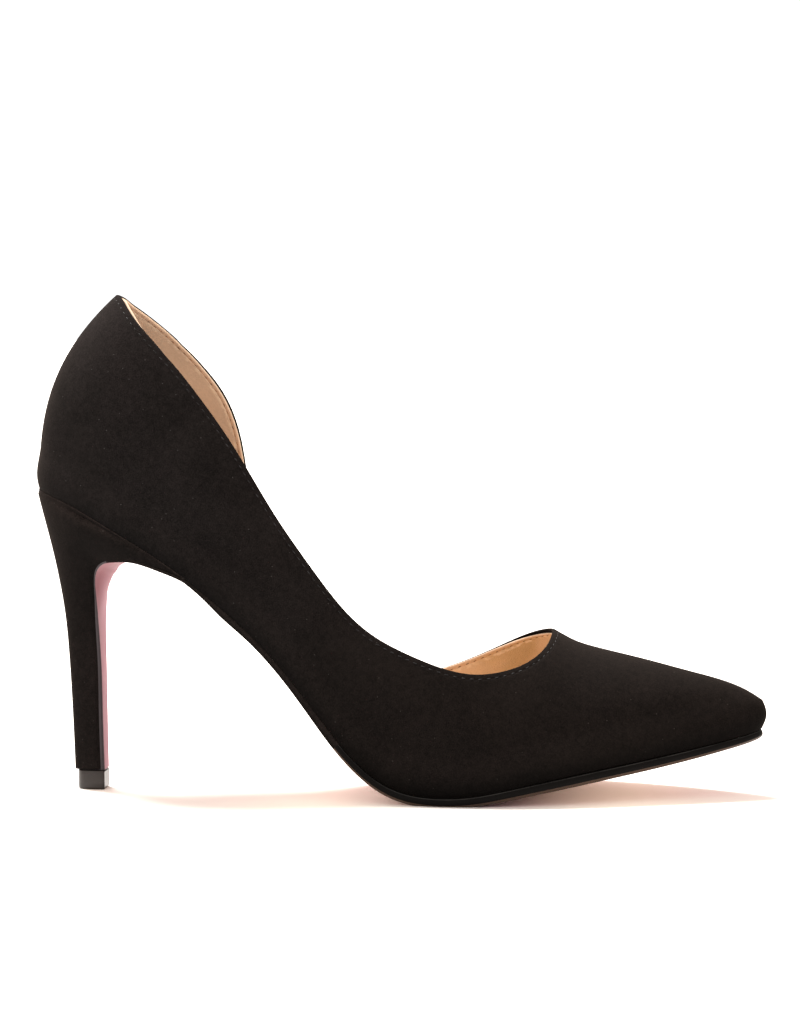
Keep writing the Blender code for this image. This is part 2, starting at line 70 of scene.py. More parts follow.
# Sizes that the solids were drawn with
GAP = 0.3
INSOLE_INSET = 2.4
BEVEL_THICK = 2.2
TOP_PIECE_HEIGHT = 6.0
TOP_PIECE_INSET = 0.25
TOP_PIECE_BACK_INSET = 0.75
TOE_SWING = 1.5
SWING_FROM = 130.0
SWELL_HEIGHT = 14.0
SWELL_LIFT = 1.7
NOSE_LENGTH = 22.0
NOSE_LIFT = 0.95
THROAT_X = 162.1
HEEL_AXIS_X = 43.0
CUT_X = 64.0
CUT_SWEEP = 3.0
VAMP_END_X = 100.4
FLAP_FROM_X = 50.0
FLAP_LEAD_X = (70.0, 60.0, FLAP_FROM_X)
STEM_FRONT = 0.90
STEM_CORNER = 0.9
STEM_POWER = 3.2
STEM_ROUND = 2.2

# Where the drawing lies in the frame
INSOLE_LOW, INSOLE_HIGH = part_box("insole")
TIP_LOW, TIP_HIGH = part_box("top_piece")
HEEL_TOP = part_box("heel")[1].z
SHIFT = np.array([INSOLE_LOW.x / MM - INSOLE_INSET, (TIP_LOW.y + TIP_HIGH.y) / 2 / MM, 0.0])

# Small forms of the layers, rims and covers
LAYER_GAP = 0.04
FOOT_ROUND = 0.14
FOOT_GAP = 0.06
THROAT_RUN = 24.0
THROAT_CLEAR = 4.0
LINING_MARGIN = 1.0
COLLAR_LIFT = 0.65
COLLAR_LIFT_X = 26.6
COLLAR_LIFT_RUN = 1.2
COLLAR_LIFT_Z = 145.0
COLLAR_LIFT_RISE = 5.0
STITCH_SINK = 0.06
SOCK_INSET = 1.85
SOCK_OPEN_INSET = 0.3
OPEN_RUN = 4.0
OPEN_CUT_MARGIN = 1.0
OPEN_VAMP_MARGIN = 1.5
WAIST_COVER_X = 97.0
WAIST_RUN = 12.0
FLAP_COVER_RUN = 28.0
FLAP_EVEN_RUN = 20.0
GROOVE_DEPTH = 0.4
HEEL_FRONT_X = 49.4
TIP_FRONT = 0.97

# Fineness of the meshes
TOE_COLUMNS = 44
QUARTER_COLUMNS = 84
HEEL_COLUMNS = 30
CUT_COLUMNS = 20
VAMP_COLUMNS = 56
WALL_ROWS = 40
FINE_STEPS = 120
SHORTEST_STEP = 0.75
LOOSE_RUN = 45.0
TOPLINE_STEP = 0.2
TOPLINE_REACH = 0.15
RIM_STEPS = 6
RIM_EASE = 3.0
RIM_NEIGHBOURS = 3
RIM_SOFTEN = 0.1
STITCH_PATH_STEP = 0.8
SOCK_HEEL_RINGS = 24
SOCK_WAIST_RINGS = 90
SOCK_TOE_RINGS = 36
WAIST_RINGS = 80
FLAP_RINGS = 110
TREAD_STEPS = 12
HEEL_RING_COUNT = 70
HEEL_SIDE_POINTS = 40
SLOPE_STEP = 0.05
MERGE_MM = 0.004
SHARP_TURN = math.radians(50)


def table(columns, *rows):
    """Rows of numbers with named columns."""
    row_type = namedtuple("Row", columns)
    return [row_type(*row) for row in rows]


# One row for each section of the last. along is a share of the length, feather of the heel height, lateral
# and medial of the ball width, ridge of the instep height. ridge_y is how far in the ridge lies. crown and
# flank are the powers of the section's curve. swell is how far the wall swells above the sole.
SECTIONS = table(
    "along feather lateral medial ridge ridge_y crown flank swell",
    (0.0000, 1.0000, 0.000, 0.000, 1.725, 0.0, 2.75, 1.00, 0.9),
    (0.0220, 0.9821, 0.178, 0.178, 1.778, 0.0, 2.75, 1.00, 0.9),
    (0.0528, 0.9558, 0.264, 0.264, 1.857, 0.0, 2.80, 1.00, 0.9),
    (0.0967, 0.9032, 0.333, 0.331, 1.995, 0.0, 2.90, 1.00, 1.0),
    (0.1407, 0.8421, 0.357, 0.350, 2.217, 0.0, 3.00, 1.00, 1.0),
    (0.1891, 0.7695, 0.361, 0.343, 2.485, 0.0, 3.00, 1.00, 1.0),
    (0.2683, 0.6231, 0.354, 0.306, 2.079, 0.3, 2.75, 1.20, 1.0),
    (0.3254, 0.4953, 0.360, 0.288, 1.825, 0.4, 2.60, 1.35, 1.1),
    (0.3782, 0.3489, 0.382, 0.287, 1.663, 0.6, 2.45, 1.50, 1.1),
    (0.4310, 0.1900, 0.410, 0.303, 1.594, 1.0, 2.30, 1.60, 1.2),
    (0.4925, 0.0666, 0.456, 0.361, 1.594, 1.6, 2.15, 1.80, 1.3),
    (0.5541, 0.0307, 0.493, 0.431, 1.500, 2.2, 2.05, 1.90, 1.4),
    (0.6069, 0.0347, 0.507, 0.481, 1.335, 2.7, 2.00, 2.00, 1.5),
    (0.6596, 0.0579, 0.497, 0.506, 1.165, 3.1, 2.00, 2.00, 1.5),
    (0.7128, 0.0842, 0.463, 0.504, 1.000, 3.2, 2.00, 2.00, 1.5),
    (0.7388, 0.0963, 0.439, 0.492, 0.900, 3.1, 2.00, 2.00, 1.5),
    (0.7696, 0.1105, 0.405, 0.469, 0.816, 3.0, 2.05, 2.00, 1.5),
    (0.8355, 0.1389, 0.318, 0.387, 0.672, 2.6, 2.10, 2.05, 1.4),
    (0.9015, 0.1684, 0.220, 0.266, 0.519, 2.1, 2.20, 2.10, 1.4),
    (0.9499, 0.1916, 0.139, 0.164, 0.399, 1.8, 2.30, 2.20, 1.4),
    (0.9807, 0.2084, 0.083, 0.093, 0.294, 1.6, 2.40, 2.30, 1.4),
    (1.0000, 0.2221, 0.000, 0.000, 0.201, 1.5, 2.50, 2.40, 1.4),
)

# Height of the upper's edge above the feather line, behind the throat or the arch cut
LATERAL_EDGE = table(
    "behind height",
    (0.0, 43.3), (2.8, 38.7), (8.6, 36.2), (17.6, 35.8), (25.0, 36.9), (36.0, 40.0), (48.3, 42.6),
    (60.8, 42.1), (73.4, 42.2), (86.0, 45.1), (98.5, 53.3), (110.1, 60.1), (119.1, 64.2), (130.1, 65.4),
    (140.1, 64.6), (150.1, 63.5), (156.1, 62.6), (162.1, 61.2),
)
VAMP_EDGE = table(
    "behind height",
    (0.0, 43.3), (3.8, 43.3), (10.4, 42.2), (17.0, 40.4), (25.0, 37.9), (36.5, 33.8), (45.0, 29.1),
    (52.0, 20.8), (58.0, 10.3), (61.7, 1.5),
)
COUNTER_EDGE = table(
    "behind height",
    (0.0, 35.5), (1.0, 45.8), (2.0, 51.3), (3.0, 54.7), (4.0, 57.1), (6.0, 60.2), (8.0, 62.1), (12.0, 64.2),
    (16.0, 65.6), (21.0, 66.9), (26.0, 67.2), (32.0, 66.8), (42.0, 64.9), (52.0, 62.9), (58.0, 62.2),
    (64.0, 61.2),
)

# Thickness of the sole along the length, and how far its edge stands out from the feather line
SOLE = table(
    "x thick stand_out",
    (50.0, 1.00, -0.1), (56.0, 1.35, -0.1), (62.0, 2.10, -0.1), (68.0, 2.00, -0.1), (74.0, 1.85, -0.1),
    (86.0, 2.05, -0.1), (98.0, 2.45, 0.1), (108.0, 2.70, 0.2), (117.0, 2.95, 0.3), (138.0, 3.15, 0.4),
    (160.0, 3.35, 0.5), (190.0, 3.30, 0.5), (210.0, 3.00, 0.3), (227.4, 2.55, -0.35),
)

# The sole's side from its top edge to its tread: how far it stands out, its depth and its finish
EDGE_PAINT, BEVEL, TREAD, COVER, FLAP_EDGE, EDGE_GLINT = range(6)
# Where the side is painted, the row just under the top edge is a painted glint line and the bevel rows carry
# a painted reflection of the warm floor
SOLE_BAND = table(
    "out depth finish",
    (-0.16, 0.00, EDGE_PAINT), (0.02, 0.05, EDGE_GLINT), (0.06, 0.12, EDGE_PAINT), (0.10, 0.22, EDGE_PAINT),
    (0.15, 0.40, EDGE_PAINT), (0.10, 0.58, EDGE_PAINT), (0.00, 0.70, BEVEL), (-0.28, 0.82, BEVEL),
    (-0.62, 0.93, BEVEL), (-0.95, 1.00, TREAD), (-2.20, 1.00, TREAD),
)

# The breast flap's inner face, from the end of the waist down to the top piece. crown is how far its
# middle bulges.
FLAP = table(
    "x z half_width thick crown",
    (42.3, 71.1, 25.0, 0.90, 0.0), (37.1, 72.75, 24.3, 0.80, 0.0), (31.6, 73.8, 22.6, 0.75, 0.3),
    (26.15, 73.6, 19.9, 0.70, 1.6), (22.6, 72.8, 17.4, 0.65, 3.0), (20.1, 70.5, 15.2, 0.55, 3.6),
    (19.3, 67.7, 13.7, 0.40, 3.1), (19.0, 62.0, 11.2, 0.50, 1.2), (18.75, 57.0, 9.0, 0.80, 0.3),
    (18.7, 50.0, 7.0, 1.00, 0.0), (19.0, 40.0, 5.7, 1.10, 0.0), (19.2, 25.0, 5.3, 1.20, 0.0),
    (19.65, 6.3, 4.7, 1.20, 0.0),
)

# The heel's back edge in profile
HEEL_BACK = table(
    "z x",
    (0.0, 11.1), (8.1, 10.8), (17.0, 10.45), (25.9, 10.05), (43.7, 9.0), (57.0, 7.75), (65.9, 6.3),
    (74.8, 4.45), (83.7, 2.2), (92.5, -0.2), (95.0, -0.9),
)

# One row for each ring of the heel: its height at the back, its place along the flap, its width at the
# breast and how far the seat's outline has turned into the stem's
HEEL_RINGS = table(
    "back_z breast half_width slim",
    (93.6, 1.2, 25.6, 0.00), (92.6, 6.0, 25.5, 0.02), (90.4, 13.0, 24.9, 0.05), (86.6, 20.0, 22.9, 0.12),
    (82.2, 26.0, 19.8, 0.22), (79.7, 28.4, 18.1, 0.28), (77.4, 30.6, 16.6, 0.34), (75.0, 32.6, 15.4, 0.40),
    (72.3, 34.6, 14.3, 0.47), (68.8, 37.2, 13.1, 0.57), (64.5, 40.5, 11.7, 0.68), (58.0, 46.0, 9.4, 0.85),
    (49.0, 54.0, 7.2, 1.00), (38.5, 64.0, 6.1, 1.00), (22.0, 80.0, 5.6, 1.00), (6.3, 96.0, 5.0, 1.00),
)

# The lip of the heel's cover under the upper, its strips that make a bead, and the side of the sock
SEAT_LIP = table(
    "out lower",
    (-0.60, 0.02), (0.03, 0.0), (0.04, -0.30), (0.10, -0.38), (0.18, -0.34), (0.22, -0.20), (0.22, 0.3),
)
# The bead's strips get a painted highlight: the suede made 2.4 times lighter
SEAT_BEAD = (2, 3, 4)
SOCK_SIDE = table("draw height", (0.0, 0.0), (0.0, 1.3), (0.12, 1.75), (0.5, 2.0), (1.6, 2.05))

# The top piece's levels, and how far each is drawn in to soften its edges
TOP_PIECE = table(
    "z inset",
    (0.0, 0.35), (0.12, 0.16), (0.4, 0.05), (1.0, 0.0), (TOP_PIECE_HEIGHT - 0.35, 0.0),
    (TOP_PIECE_HEIGHT - 0.1, 0.06), (TOP_PIECE_HEIGHT, 0.2),
)


def length_property(name, description, default_mm):
    return FloatProperty(
        name=name, description=description, default=default_mm * MM, unit="LENGTH", precision=5
    )


def angle_property(name, description, degrees):
    return FloatProperty(name=name, description=description, default=math.radians(degrees), subtype="ANGLE")


def colour_property(name, description, default):
    return FloatVectorProperty(
        name=name, description=description, default=default, size=3, min=0.0, max=1.0, subtype="COLOR"
    )


class PumpSizes(bpy.types.PropertyGroup):
    """The driving sizes of the last and of the layers on it"""

    length: length_property("Length", "Heel seat to toe at the feather line",
                            (INSOLE_HIGH.x - INSOLE_LOW.x) / MM + 2 * INSOLE_INSET)
    ball_width: length_property("Ball width", "Width that the last's outline is a share of", 72.0)
    instep_height: length_property("Instep height", "Ridge height at the throat", 43.3)
    heel_height: length_property("Heel height", "Feather line at the back of the seat", HEEL_TOP / MM + GAP)
    suede_thick: length_property("Suede", "Thickness of the outer suede with its folded edge", 1.0)
    lining_thick: length_property("Lining", "Thickness of the lining", 0.54)
    lining_drop: length_property("Lining drop", "How far the lining's edge lies below the fold", 0.12)
    throat_drop: length_property("Throat drop", "How far it lies below the fold at the throat", 1.5)


class PumpStitches(bpy.types.PropertyGroup):
    """The stitch row along the topline"""

    pitch: length_property("Pitch", "Distance from stitch to stitch", 2.6)
    stitch_length: length_property("Stitch length", "Length of the thread that shows", 1.5)
    thread: length_property("Thread", "Thickness of the thread", 0.32)
    edge_distance: length_property("Edge distance", "From the topline down to the row", 1.75)
    lining_distance: length_property("Lining distance", "From the lining's edge to the row inside", 1.15)
    lining_length: length_property("Lining stitch", "Length of the thread that shows inside", 1.3)
    slant: angle_property("Slant", "Turn of each stitch against the row", 7.0)
    seed: IntProperty(name="Seed", description="Seed of the small differences between stitches", default=7)


class PumpColours(bpy.types.PropertyGroup):
    """The colours of the finishes"""

    suede: colour_property("Suede", "Nap laid down", (0.0030, 0.0026, 0.0025))
    suede_raised: colour_property("Raised nap", "Nap brushed up", (0.0130, 0.0110, 0.0106))
    lining: colour_property("Vamp lining", "Smooth lining of the vamp", (0.55, 0.385, 0.205))
    heel_grip: colour_property("Heel grip", "Napped lining of the counter", (0.51, 0.38, 0.275))
    sock: colour_property("Sock", "Sock on the insole", (0.58, 0.37, 0.22))
    rose: colour_property("Rose", "Sole and breast flap", (0.33, 0.15, 0.19))
    # Painted shade: the flap's rose made darker towards its lateral edge
    shaded_rose: colour_property("Shaded rose", "Flap towards its lateral edge", (0.19, 0.070, 0.085))
    edge_paint: colour_property("Edge paint", "Side of the sole", (0.0038, 0.0034, 0.0033))
    # Painted glint along the top line of the sole's side
    rubbed_edge: colour_property("Edge glint", "Top line of the sole's side", (0.013, 0.0125, 0.012))
    flap_edge: colour_property("Flap edge", "Dyed edge of the breast flap", (0.024, 0.019, 0.022))
    # Painted reflection: the brown of the sole's lower edge stands in for the warm floor seen in it
    bevel: colour_property("Bevel", "Lower edge of the sole", (0.045, 0.028, 0.020))
    tip: colour_property("Tip", "Hard top piece", (0.021, 0.0172, 0.0158))
    thread: colour_property("Thread", "Topline thread", (0.0050, 0.0050, 0.0054))
    lining_thread: colour_property("Lining thread", "Thread as it shows inside", (0.22, 0.12, 0.07))


class PumpStage(bpy.types.PropertyGroup):
    """The camera's place and the floor"""

    distance: length_property("Distance", "Camera to target", 1150.0)
    azimuth: angle_property("Azimuth", "Turn of the camera towards the toe", 5.0)
    elevation: angle_property("Elevation", "Height of the camera above the horizon", 3.0)
    lens: FloatProperty(name="Lens", description="Focal length", default=130.4, unit="CAMERA")
    target: FloatVectorProperty(name="Target", description="Point at the middle of the picture",
                                default=(0.00009, 0.0, 0.0897), size=3, subtype="XYZ", unit="LENGTH")
    floor_size: length_property("Floor", "Side of the floor", 40000.0)


def spline(places, values):
    """A natural cubic spline through the points, as a function of a place or an array of places."""
    xs = np.array(places, float)
    ys = np.array(values, float)
    gaps = np.diff(xs)
    slopes = np.diff(ys) / gaps
    last = len(xs) - 1
    matrix = np.eye(last + 1)
    right = np.zeros(last + 1)
    for i in range(1, last):
        matrix[i, i - 1:i + 2] = gaps[i - 1], 2 * (gaps[i - 1] + gaps[i]), gaps[i]
        right[i] = 6 * (slopes[i] - slopes[i - 1])
    bends = np.linalg.solve(matrix, right)

    def value(x):
        x = np.asarray(x, float)
        i = np.clip(np.searchsorted(xs, x) - 1, 0, last - 1)
        ahead = xs[i + 1] - x
        past = x - xs[i]
        cubic = (bends[i] * ahead ** 3 + bends[i + 1] * past ** 3) / (6 * gaps[i])
        start = (ys[i] / gaps[i] - bends[i] * gaps[i] / 6) * ahead
        end = (ys[i + 1] / gaps[i] - bends[i + 1] * gaps[i] / 6) * past
        return cubic + start + end

    return value


def column_spline(rows, place, column):
    return spline([getattr(row, place) for row in rows], [getattr(row, column) for row in rows])


def edge_curve(rows, start):
    """The height of an edge at x, splined over the root of the distance, so that it starts round."""
    curve = spline([math.sqrt(row.behind) for row in rows], [row.height for row in rows])
    return lambda x: curve(math.sqrt(max(start - x, 0.0)))


def spaced(start, end, count, crowding=1.0):
    """count places from just after start up to end, closer together near start where crowding is over 1."""
    return [start + (end - start) * (i / count) ** crowding for i in range(1, count + 1)]


def toe_places(last):
    return [last.length] + spaced(last.length, THROAT_X, TOE_COLUMNS, crowding=1.7)


def round_heel(count):
    """Places along the length that step evenly round to the back of the heel."""
    return [HEEL_AXIS_X * (1.0 - math.sin(math.pi / 2 * i / count)) for i in range(1, count + 1)]


def smooth_step(share):
    share = min(max(share, 0.0), 1.0)
    return share * share * (3.0 - 2.0 * share)


def unit(vectors):
    return vectors / np.maximum(np.linalg.norm(vectors, axis=-1, keepdims=True), 1e-9)


def run_lengths(line):
    """Distances of a polyline's points from its start."""
    return np.concatenate([[0.0], np.cumsum(np.linalg.norm(np.diff(line, axis=0), axis=1))])


def points_at(line, places, wanted):
    """A polyline's points at the wanted distances."""
    return np.stack([np.interp(wanted, places, line[:, i]) for i in range(3)], axis=1)


def resampled(line, step):
    """The polyline at even steps."""
    places = run_lengths(line)
    return points_at(line, places, np.linspace(0.0, places[-1], max(2, int(places[-1] / step))))


def point_tree(points):
    """A search tree of points, numbered in their order."""
    tree = KDTree(len(points))
    for i, point in enumerate(points):
        tree.insert(Vector(point), i)
    tree.balance()
    return tree


class Last:
    """The form that the shoe is made on, from the tables and the driving sizes."""

    def __init__(self, sizes):
        self.length = sizes.length / MM
        ball = sizes.ball_width / MM
        places = [row.along * self.length for row in SECTIONS]

        def of(column, size=1.0, power=1):
            return spline(places, [(getattr(row, column) * size) ** power for row in SECTIONS])

        self.feather = of("feather", sizes.heel_height / MM)
        self.ridge_height = of("ridge", sizes.instep_height / MM)
        self.ridge_y = of("ridge_y")
        self.crown = of("crown")
        self.flank = of("flank")
        self.swell_size = of("swell")
        self.width_squared = {LATERAL: of("lateral", ball, 2), MEDIAL: of("medial", ball, 2)}
        self.sole_thick = column_spline(SOLE, "x", "thick")
        self.sole_stand_out = column_spline(SOLE, "x", "stand_out")
        self.heel_back_x = column_spline(HEEL_BACK, "z", "x")
        self.lateral_edge = edge_curve(LATERAL_EDGE, THROAT_X)
        self.vamp_edge = edge_curve(VAMP_EDGE, THROAT_X)
        self.counter_edge = edge_curve(COUNTER_EDGE, CUT_X)

    def half_width(self, side, x):
        return np.sqrt(np.maximum(self.width_squared[side](x), 1e-12))

    def outline(self, side, x):
        """The feather line's y at x, and its outward direction seen from above."""
        step = 0.01
        width = self.half_width(side, x)
        squares = self.width_squared[side]
        slope = (squares(x + step) - squares(x - step)) / (4 * step * width)
        size = np.hypot(slope, 1.0)
        swing = TOE_SWING * np.maximum(0.0, (x - SWING_FROM) / (self.length - SWING_FROM)) ** 2
        return swing + side * width, -slope / size, side / size

    def swell(self, x, height):
        """The wall's swelling just above the sole."""
        share = np.minimum(height / np.minimum(SWELL_HEIGHT, self.ridge_height(x)), 1.0)
        nose = np.clip(1.0 - (self.length - x) / NOSE_LENGTH, 0.0, 1.0) ** 2
        lift = SWELL_LIFT * (1.0 - share) * (1.0 - nose) + NOSE_LIFT * nose
        return lift * self.swell_size(x) * np.sin(math.pi * share)

    def wall_points(self, side, x, height):
        """Points of the outer face, at places along the length and heights above the feather line."""
        y, out_x, out_y = self.outline(side, x)
        axis_x = np.maximum(x, HEEL_AXIS_X)
        axis_y = self.ridge_y(axis_x)
        share = np.minimum(height / self.ridge_height(x), 1.0)
        reach = (1.0 - share ** self.crown(x)) ** (1.0 / self.flank(x))
        out = self.swell(x, height)
        return np.stack([
            axis_x + (x - axis_x) * reach + out * out_x,
            axis_y + (y - axis_y) * reach + out * out_y,
            self.feather(x) + height,
        ], axis=-1)

    def wall_line(self, side, x, top, foot_x):
        """Fine points up the wall from its foot at foot_x to its edge at x, and their distances."""
        ridge = self.ridge_height(x)
        power = self.crown(x)
        turn = math.asin(min(top / ridge, 1.0) ** (power / 2))
        steps = np.linspace(0.0, 1.0, FINE_STEPS + 1)
        heights = np.concatenate([top * steps, ridge * np.sin(turn * steps[:-1]) ** (2 / power)])
        heights.sort()
        places = x + (foot_x - x) * np.maximum(0.0, 1.0 - heights / top) ** 2
        line = self.wall_points(side, places, heights)
        return line, run_lengths(line)

    def wall_column(self, side, x, top, loose=0.0, foot_x=None):
        """Points up the wall to its edge. A loose one has a whole section's rows, cut short there."""
        foot_x = x if foot_x is None else foot_x
        line, places = self.wall_line(side, x, top, foot_x)
        whole = places[-1]
        if loose > 0.0:
            ridge_places = self.wall_line(side, x, self.ridge_height(x), foot_x)[1]
            whole += (ridge_places[-1] - places[-1]) * loose
        step = whole / WALL_ROWS
        last = places[-1] - SHORTEST_STEP * step
        wanted = [i * step if i * step < last else places[-1] for i in range(WALL_ROWS + 1)]
        return points_at(line, places, wanted)


class Flap:
    """The breast flap's inner face, by the distance along it from the end of the waist."""

    def __init__(self, last):
        lead = [
            (x, last.feather(x) - GAP, last.half_width(MEDIAL, x), last.sole_thick(x), 0.0)
            for x in FLAP_LEAD_X
        ]
        columns = np.array(lead + FLAP).T
        places = run_lengths(columns[:2].T)
        places -= places[len(lead) - 1]
        self.x, self.z, self.half_width, self.thick, self.crown = (spline(places, row) for row in columns)
        self.length = places[-1]

    def ahead(self, place):
        """The direction along the flap, back towards the waist, as x and z."""
        x = self.x(place - SLOPE_STEP) - self.x(place + SLOPE_STEP)
        z = self.z(place - SLOPE_STEP) - self.z(place + SLOPE_STEP)
        return np.array([x, z]) / math.hypot(x, z)


def looseness(x):
    """1 at the throat, where rows run on from the ridge, and 0 well behind, where they share the wall."""
    return 1.0 - smooth_step((THROAT_X - x) / LOOSE_RUN)


Sheet = namedtuple("Sheet", "points normals faces rims outs topline")


def upper_sheet(last):
    """The upper's outer face, as one sheet that is open along its topline and its foot."""
    toe = toe_places(last)
    heel = round_heel(HEEL_COLUMNS)
    lateral = [last.wall_column(LATERAL, x, last.ridge_height(x)) for x in toe]
    throat = len(lateral) - 1
    for x in spaced(THROAT_X, HEEL_AXIS_X, QUARTER_COLUMNS, crowding=1.6) + heel:
        lateral.append(last.wall_column(LATERAL, x, last.lateral_edge(x), looseness(x)))
    for x in heel[-2::-1] + spaced(CUT_X, HEEL_AXIS_X, CUT_COLUMNS, crowding=1.25)[::-1] + [CUT_X]:
        share = max(0.0, (x - HEEL_AXIS_X) / (CUT_X - HEEL_AXIS_X))
        foot = x + CUT_SWEEP * share ** 2
        lateral.append(last.wall_column(MEDIAL, x, last.counter_edge(x), foot_x=foot))
    vamp = [last.wall_column(MEDIAL, x, last.ridge_height(x)) for x in toe]
    for x in spaced(THROAT_X, VAMP_END_X, VAMP_COLUMNS, crowding=1.4):
        vamp.append(last.wall_column(MEDIAL, x, last.vamp_edge(x), 1.0))
    tip = lateral[throat]
    low = int(np.argmax(tip[:, 1] >= lateral[throat + 1][-1][1]))
    topline = [column[-1] for column in vamp[:throat:-1]] + list(tip[:low - 1:-1])
    topline += [column[-1] for column in lateral[throat + 1:]] + list(lateral[-1][-2::-1])
    bm = bmesh.new()
    for columns, flip in ((lateral, True), (vamp, False)):
        grid = [[bm.verts.new(point) for point in column] for column in columns]
        for place, (left, right) in enumerate(zip(grid, grid[1:])):
            for i in range(low if flip and place == throat else WALL_ROWS):
                corners = [left[i], right[i], right[i + 1], left[i + 1]]
                bm.faces.new(corners[::-1] if flip else corners)
    bmesh.ops.remove_doubles(bm, verts=bm.verts, dist=MERGE_MM)
    bmesh.ops.dissolve_degenerate(bm, edges=bm.edges, dist=MERGE_MM / 2)
    sheet = read_sheet(bm, np.array(topline))
    bm.free()
    return sheet


def read_sheet(bm, topline):
    """The arrays of an open sheet, with the direction out of it at each point of its rim."""
    bm.normal_update()
    bm.verts.index_update()
    points = np.array([vert.co for vert in bm.verts])
    normals = np.array([vert.normal for vert in bm.verts])
    faces = [[vert.index for vert in face.verts] for face in bm.faces]
    rims = []
    outs = np.zeros_like(points)
    for edge in bm.edges:
        if edge.is_boundary:
            loop = edge.link_loops[0]
            first = loop.vert.index
            second = loop.link_loop_next.vert.index
            rims.append((first, second))
            along = unit(points[second] - points[first])
            for index in (first, second):
                outs[index] += np.cross(along, normals[index])
    return Sheet(points, normals, faces, rims, unit(outs), topline)


def wall_between(sheet, depth, thick, drop):
    """A closed wall below the sheet with a round rim, dropped along the topline, and its edge distances."""
    points, normals, faces, rims, outs, topline = sheet
    radius = thick / 2
    rim = sorted({index for edge in rims for index in edge})
    tree = point_tree(resampled(topline, TOPLINE_STEP))
    edge = np.array([tree.find(Vector(point))[2] for point in points])
    at_top = edge[rim] < TOPLINE_REACH
    reach = np.where(at_top, radius, FOOT_ROUND)
    inset = np.zeros(len(points))
    inset[rim] = reach + np.where(at_top, drop[rim], FOOT_GAP - GAP)
    shifts = outs * inset[:, None]
    base = points - shifts - rim_ease(points, edge, rim, shifts * (edge < TOPLINE_REACH)[:, None])
    count = len(points)
    layers = [base - normals * depth, base - normals * (depth + thick)]
    place = {index: i for i, index in enumerate(rim)}
    middle = base[rim] - normals[rim] * (depth + radius)
    for step in range(1, RIM_STEPS):
        angle = math.pi * step / RIM_STEPS
        side = radius * math.cos(angle) * normals[rim]
        layers.append(middle + side + (reach * math.sin(angle))[:, None] * outs[rim])
    made = faces + [[count + index for index in face[::-1]] for face in faces]

    def rim_vert(step, index):
        if step == 0:
            return index
        if step == RIM_STEPS:
            return count + index
        return 2 * count + (step - 1) * len(rim) + place[index]

    for first, second in rims:
        for step in range(RIM_STEPS):
            made.append([rim_vert(step, second), rim_vert(step, first),
                         rim_vert(step + 1, first), rim_vert(step + 1, second)])
    return np.concatenate(layers), made, np.concatenate([edge, edge] + [edge[rim]] * (RIM_STEPS - 1))


def rim_ease(points, edge, rim, shifts):
    """How far the points near the topline make room for its rim, so that no face folds over."""
    tree = point_tree(points[rim])
    eased = np.zeros_like(points)
    for i in set(np.flatnonzero(edge < RIM_EASE)) - set(rim):
        near = tree.find_n(Vector(points[i]), RIM_NEIGHBOURS)
        weights = np.array([1.0 / (distance + RIM_SOFTEN) for _, _, distance in near])
        shift = weights @ shifts[[rim[index] for _, index, _ in near]] / weights.sum()
        eased[i] = shift * (1.0 - edge[i] / RIM_EASE)
    return eased


def drawn_mesh(name, points, edges, faces):
    """A mesh in the frame from drawing points in millimetres."""
    mesh = bpy.data.meshes.new(name)
    mesh.from_pydata(((np.asarray(points) + SHIFT) * MM).tolist(), edges, faces)
    return mesh


def link_object(name, data):
    made = bpy.data.objects.new(name, data)
    bpy.context.scene.collection.objects.link(made)
    return made


def add_piece(name, points, faces, materials, node=None, finishes=None, closed=False):
    """Make a smooth piece from drawing points. A closed one has its poles joined."""
    mesh = drawn_mesh(name, points, [], faces)
    for material in materials:
        mesh.materials.append(material)
    if finishes is not None:
        mesh.polygons.foreach_set("material_index", finishes)
    if closed:
        close_mesh(mesh)
    mesh.shade_smooth()
    mesh.update()
    return settle(link_object(name, mesh), node)


def close_mesh(mesh):
    """Join the points of poles and seams, fill what is still open and point the faces outwards."""
    bm = bmesh.new()
    bm.from_mesh(mesh)
    bmesh.ops.remove_doubles(bm, verts=bm.verts, dist=MERGE_MM * MM)
    bmesh.ops.dissolve_degenerate(bm, edges=bm.edges, dist=MERGE_MM * MM / 2)
    bmesh.ops.holes_fill(bm, edges=[edge for edge in bm.edges if edge.is_boundary])
    bmesh.ops.recalc_face_normals(bm, faces=bm.faces)
    bm.to_mesh(mesh)
    bm.free()
    mesh.set_sharp_from_angle(angle=SHARP_TURN)


def settle(piece, node=None):
    """Hand a finished piece to the frame."""
    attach(piece, BODY)
    if node:
        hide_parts(node)
    return piece


def add_attribute(mesh, name, values, kind="FLOAT", field="value"):
    attribute = mesh.attributes.new(name, kind, "POINT")
    attribute.data.foreach_set(field, np.asarray(values, np.float32).ravel())


def ring_faces(rings, count):
    """Faces of a tube through rings of count points each."""
    faces = []
    for start in range(0, (rings - 1) * count, count):
        for i in range(count):
            j = (i + 1) % count
            faces.append([start + i, start + j, start + count + j, start + count + i])
    return faces


def capped_faces(rings, count):
    """Faces of a tube with a strip across each of its ends, from one half of the ring to the other."""
    faces = ring_faces(rings, count)
    for start, turn in ((0, -1), ((rings - 1) * count, 1)):
        for i in range(count // 2 - 1):
            face = [start + i, start + i + 1, start + count - 2 - i, start + count - 1 - i]
            faces.append(face[::turn])
    return faces


